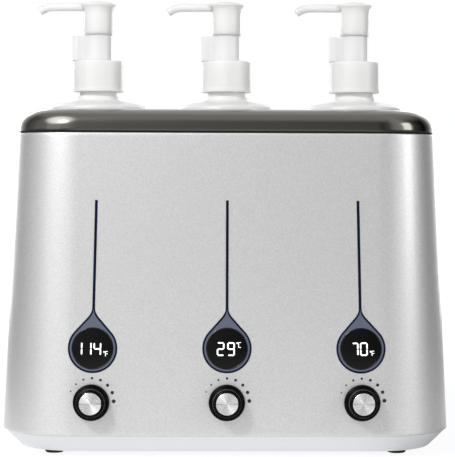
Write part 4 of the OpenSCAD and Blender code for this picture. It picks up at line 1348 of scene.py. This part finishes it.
INNER_FINISHES = {
    "base_screws": "steel",
    "cup_gaskets": "silicone",
    "heater_bands": "heater_silicone",
    "temperature_sensors": "sensor_metal",
    "cup_clamps": "steel",
    "clamp_screws": "steel",
    "display_modules": "module_black",
    "control_board": "board",
    "potentiometers": "component_grey",
    "shaft_nuts": "steel",
    "board_screws": "steel",
    "power_board": "board",
    "knob_shaft": "steel",
    "pump_chamber": "pump_white",
    "dip_tube": "bottle_plastic",
}


def dress_inner_solids():
    """Gives the solids that keep their own shape their finish."""
    for node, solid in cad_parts.items():
        for start, finish in INNER_FINISHES.items():
            if node.startswith(start):
                solid.data.materials.clear()
                solid.data.materials.append(finish_of(finish))


# Stage

# Greys that gloss mirrors round the object, at degrees from the front, with the right above zero:
# bright on the left, grey on the right, dark at the sides and white behind
STUDIO_GREYS = {
    -180: 1.0, -142: 1.0, -128: 0.45, -114: 0.16, -100: 0.28, -84: 0.50, -66: 0.58,
    -42: 0.52, -22: 0.84, -8: 0.56, 2: 0.33, 12: 0.12, 24: 0.24, 36: 0.76,
    50: 0.92, 64: 0.74, 80: 0.10, 108: 0.0, 124: 0.22, 138: 1.0, 180: 1.0,
}


def make_world(scene):
    world = bpy.data.worlds.new("studio")
    world.use_nodes = True
    scene.world = world
    shading = Shading(world.node_tree)
    sky = world.node_tree.nodes["Background"]
    ray = shading.node("ShaderNodeLightPath", output="Is Camera Ray")
    seen = ray.most(ray.other("Is Transmission Ray"))
    glossy = ray.other("Is Glossy Ray")
    towards = shading.node("ShaderNodeTexCoord", output="Generated")
    across, along, up = shading.parts(towards)
    round_about = across.sum("ARCTAN2", across, 0.0 - along)
    stops = {0.5 + degrees / 360.0: grey for degrees, grey in STUDIO_GREYS.items()}
    front = shading.node("ShaderNodeValToRGB", {"stops": stops}, {0: round_about / (2.0 * math.pi) + 0.5})
    above = up.ramp(0.45, 0.95, 0.0, 0.78)
    # A large soft light stands high on the left. Its edge and core are cosines of the angle from its middle
    spot_x, spot_y, spot_z = -0.500, -0.517, 0.695
    edge, core = 0.866, 0.990
    spot = (across * spot_x + along * spot_y + up * spot_z).ramp(edge, core, 0.0, 4.4)
    mirrored = front.most(above).most(spot)
    ambient = 1.0 - seen
    # Surfaces without gloss get most of their light from the front and the left
    facing = (0.0 - along).ramp(-0.3, 0.8, 0.30, 1.0) * across.ramp(0.3, 0.9, 1.0, 0.85)
    plain = ambient * (1.0 - glossy) * facing * scene.warmer_stage.ambient
    strength = seen + ambient * glossy * mirrored + plain
    shading.feed(sky.inputs["Strength"], strength)
    sky.inputs["Color"].default_value = (1.0, 1.0, 1.0, 1.0)


def make_floor():
    shape = bmesh.new()
    rings = [[Vector((x, y, 0.0)) for x, y in circle(radius, 64)] for radius in (3.0, 1.0, 0.3)]
    loft(shape, rings, high_cap=True)
    floor = helper("studio_floor", mesh_of(shape, "studio_floor"))
    material = bpy.data.materials.new("studio_floor")
    material.use_nodes = True
    shading = Shading(material.node_tree)
    shading.tree.nodes.clear()
    place = shading.node("ShaderNodeTexCoord", output="Object")
    away = shading.node("ShaderNodeVectorMath", {"operation": "LENGTH"}, {0: place}, "Value")
    glow = away.ramp(0.25, 1.2, 0.90, 1.0)
    across, along, _up = shading.parts(place)
    seen = shading.node("ShaderNodeLightPath", output="Is Camera Ray")
    # The floor's glow that only the object shows holds painted light: brighter on the left, dimmer at the
    # sides and far off, with a painted shadow under the object and another to its right
    # Half length and half depth of the painted shadow under the object, and the place of the second painted
    # shadow to its right
    half_x, half_y, right_shadow_x = 0.125, 0.042, 0.19
    under = (abs(across) - half_x).most(abs(along) - half_y)
    # Painted light brighter on the left, and the painted shadow under the object
    mirrored = across.ramp(0.0, 0.30, 0.95, 0.75) * under.ramp(-0.015, 0.01, 0.25, 1.0)
    right = abs(across - right_shadow_x).most(abs(along))
    # Painted shade towards the sides, and the painted shadow to the right of the object
    mirrored = mirrored * abs(across).ramp(0.28, 0.60, 1.0, 0.20) * right.ramp(0.02, 0.10, 0.22, 1.0)
    # Painted shade far from the object
    mirrored = mirrored * away.ramp(0.35, 1.0, 1.0, 0.5)
    glow = glow * (seen + (1.0 - seen) * mirrored)
    paper = shading.node("ShaderNodeBsdfDiffuse", {}, {"Color": (0.14, 0.14, 0.14)})
    light = shading.node("ShaderNodeEmission", {}, {"Strength": glow})
    both = shading.node("ShaderNodeAddShader", {}, {0: paper, 1: light})
    shading.node("ShaderNodeOutputMaterial", {}, {"Surface": both})
    floor.data.materials.append(material)


def add_lamp(scene, name, azimuth, height, distance, size, power):
    """A soft box, placed by its angle from the front, clockwise from above, and its height angle."""
    lamp = bpy.data.lights.new(name, "AREA")
    lamp.shape = "RECTANGLE"
    lamp.size, lamp.size_y = size
    lamp.energy = power
    lamp_object = bpy.data.objects.new(name, lamp)
    scene.collection.objects.link(lamp_object)
    a, h = math.radians(azimuth), math.radians(height)
    direction = Vector((-math.sin(a) * math.cos(h), -math.cos(a) * math.cos(h), math.sin(h)))
    aim = Vector((0.0, 0.0, 0.14))
    turn = direction.to_track_quat("Z", "Y").to_matrix().to_4x4()
    lamp_object.matrix_world = Matrix.Translation(aim + direction * distance) @ turn


def make_camera(scene):
    stage, case = scene.warmer_stage, scene.warmer_case
    data = bpy.data.cameras.new("photo_camera")
    data.lens = stage.lens
    data.sensor_width = 36.0
    data.clip_start = 0.05
    camera = bpy.data.objects.new("photo_camera", data)
    scene.collection.objects.link(camera)
    front = face_y(case, case.housing_z) + ROW_Y
    spot = Vector((stage.camera_x, front - stage.camera_gap, stage.camera_z))
    yaw = math.atan2(stage.aim_x - stage.camera_x, stage.camera_gap)
    turn = Matrix.Rotation(-yaw, 4, "Z") @ Matrix.Rotation(math.pi / 2.0 + stage.pitch, 4, "X")
    camera.matrix_world = Matrix.Translation(spot) @ turn @ Matrix.Rotation(stage.roll, 4, "Z")
    scene.camera = camera


# Operators


class WARMER_OT_stage(bpy.types.Operator):
    """Sets up the camera, the lamps, the floor and the white surroundings"""

    bl_idname = "warmer.stage"
    bl_label = "Stage"

    def execute(self, context):
        scene = context.scene
        stage = scene.warmer_stage
        scene.view_settings.view_transform = "Standard"
        make_camera(scene)
        make_world(scene)
        make_floor()
        add_lamp(scene, "key_lamp", 35.0, 36.5, 1.2, (0.16, 0.16), stage.key)
        add_lamp(scene, "left_box", 48.0, 14.0, 1.5, (0.7, 1.0), stage.left_fill)
        add_lamp(scene, "right_box", -64.0, 17.0, 1.5, (0.44, 0.80), stage.right_fill)
        add_lamp(scene, "left_rim", 152.0, 12.0, 1.5, (0.6, 1.2), stage.rim)
        add_lamp(scene, "right_rim", -152.0, 12.0, 1.5, (0.6, 1.2), stage.rim)
        return {"FINISHED"}


class WARMER_OT_case(bpy.types.Operator):
    """Makes the painted housing, the chromed cap, the base and its feet"""

    bl_idname = "warmer.case"
    bl_label = "Case"

    def execute(self, context):
        make_housing(context.scene)
        make_cap(context.scene)
        make_base(context.scene)
        make_feet(context.scene)
        return {"FINISHED"}


class WARMER_OT_cups(bpy.types.Operator):
    """Makes the heating cups under the openings"""

    bl_idname = "warmer.cups"
    bl_label = "Heating Cups"

    def execute(self, context):
        make_cups(context.scene)
        return {"FINISHED"}


class WARMER_OT_inlet(bpy.types.Operator):
    """Makes the mains inlet at the rear"""

    bl_idname = "warmer.inlet"
    bl_label = "Mains Inlet"

    def execute(self, context):
        make_inlet(context.scene)
        return {"FINISHED"}


class WARMER_OT_displays(bpy.types.Operator):
    """Makes the drops, their windows and the lit digits"""

    bl_idname = "warmer.displays"
    bl_label = "Displays"

    def execute(self, context):
        make_drops(context.scene)
        make_displays(context.scene)
        return {"FINISHED"}


class WARMER_OT_knobs(bpy.types.Operator):
    """Makes the ribbed knobs with their spun caps, and the printed dots round them"""

    bl_idname = "warmer.knobs"
    bl_label = "Knobs"

    def execute(self, context):
        tree = ring_tree()
        make_dots(context.scene, tree)
        make_knobs(context.scene, tree)
        return {"FINISHED"}


class WARMER_OT_bottles(bpy.types.Operator):
    """Makes the three bottles"""

    bl_idname = "warmer.bottles"
    bl_label = "Bottles"

    def execute(self, context):
        make_bottles(context.scene)
        return {"FINISHED"}


class WARMER_OT_pumps(bpy.types.Operator):
    """Makes the collars, stems, heads and lock clips of the pumps"""

    bl_idname = "warmer.pumps"
    bl_label = "Pumps"

    def execute(self, context):
        make_collars(context.scene)
        make_stems(context.scene)
        make_heads(context.scene)
        make_clips(context.scene)
        return {"FINISHED"}


class WARMER_OT_inner(bpy.types.Operator):
    """Finishes the inner solids, which keep their own shape"""

    bl_idname = "warmer.inner"
    bl_label = "Inner Parts"

    def execute(self, context):
        dress_inner_solids()
        return {"FINISHED"}


STEPS = (
    WARMER_OT_stage,
    WARMER_OT_case,
    WARMER_OT_cups,
    WARMER_OT_inlet,
    WARMER_OT_displays,
    WARMER_OT_knobs,
    WARMER_OT_bottles,
    WARMER_OT_pumps,
    WARMER_OT_inner,
)
GROUPS = {
    "warmer_case": WarmerCase,
    "warmer_front": WarmerFront,
    "warmer_pump": WarmerPump,
    "warmer_colours": WarmerColours,
    "warmer_stage": WarmerStage,
}


class WARMER_PT_panel(bpy.types.Panel):
    """Lists the settings and the steps that build the warmer"""

    bl_idname = "WARMER_PT_panel"
    bl_label = "Oil Warmer"
    bl_space_type = "VIEW_3D"
    bl_region_type = "UI"
    bl_category = "Oil Warmer"

    def draw(self, context):
        for step in STEPS:
            self.layout.operator(step.bl_idname)
        for attribute, group in GROUPS.items():
            box = self.layout.box()
            box.label(text=group.__doc__)
            for key in group.__annotations__:
                box.prop(getattr(context.scene, attribute), key)


def register():
    for group in GROUPS.values():
        bpy.utils.register_class(group)
    for attribute, group in GROUPS.items():
        setattr(bpy.types.Scene, attribute, PointerProperty(type=group))
    for step in STEPS:
        bpy.utils.register_class(step)
    bpy.utils.register_class(WARMER_PT_panel)


def unregister():
    bpy.utils.unregister_class(WARMER_PT_panel)
    for step in reversed(STEPS):
        bpy.utils.unregister_class(step)
    for attribute, group in GROUPS.items():
        delattr(bpy.types.Scene, attribute)
        bpy.utils.unregister_class(group)


def main():
    register()
    for step in STEPS:
        space, name = step.bl_idname.split(".")
        getattr(getattr(bpy.ops, space), name)()


if __name__ == "__main__":
    main()
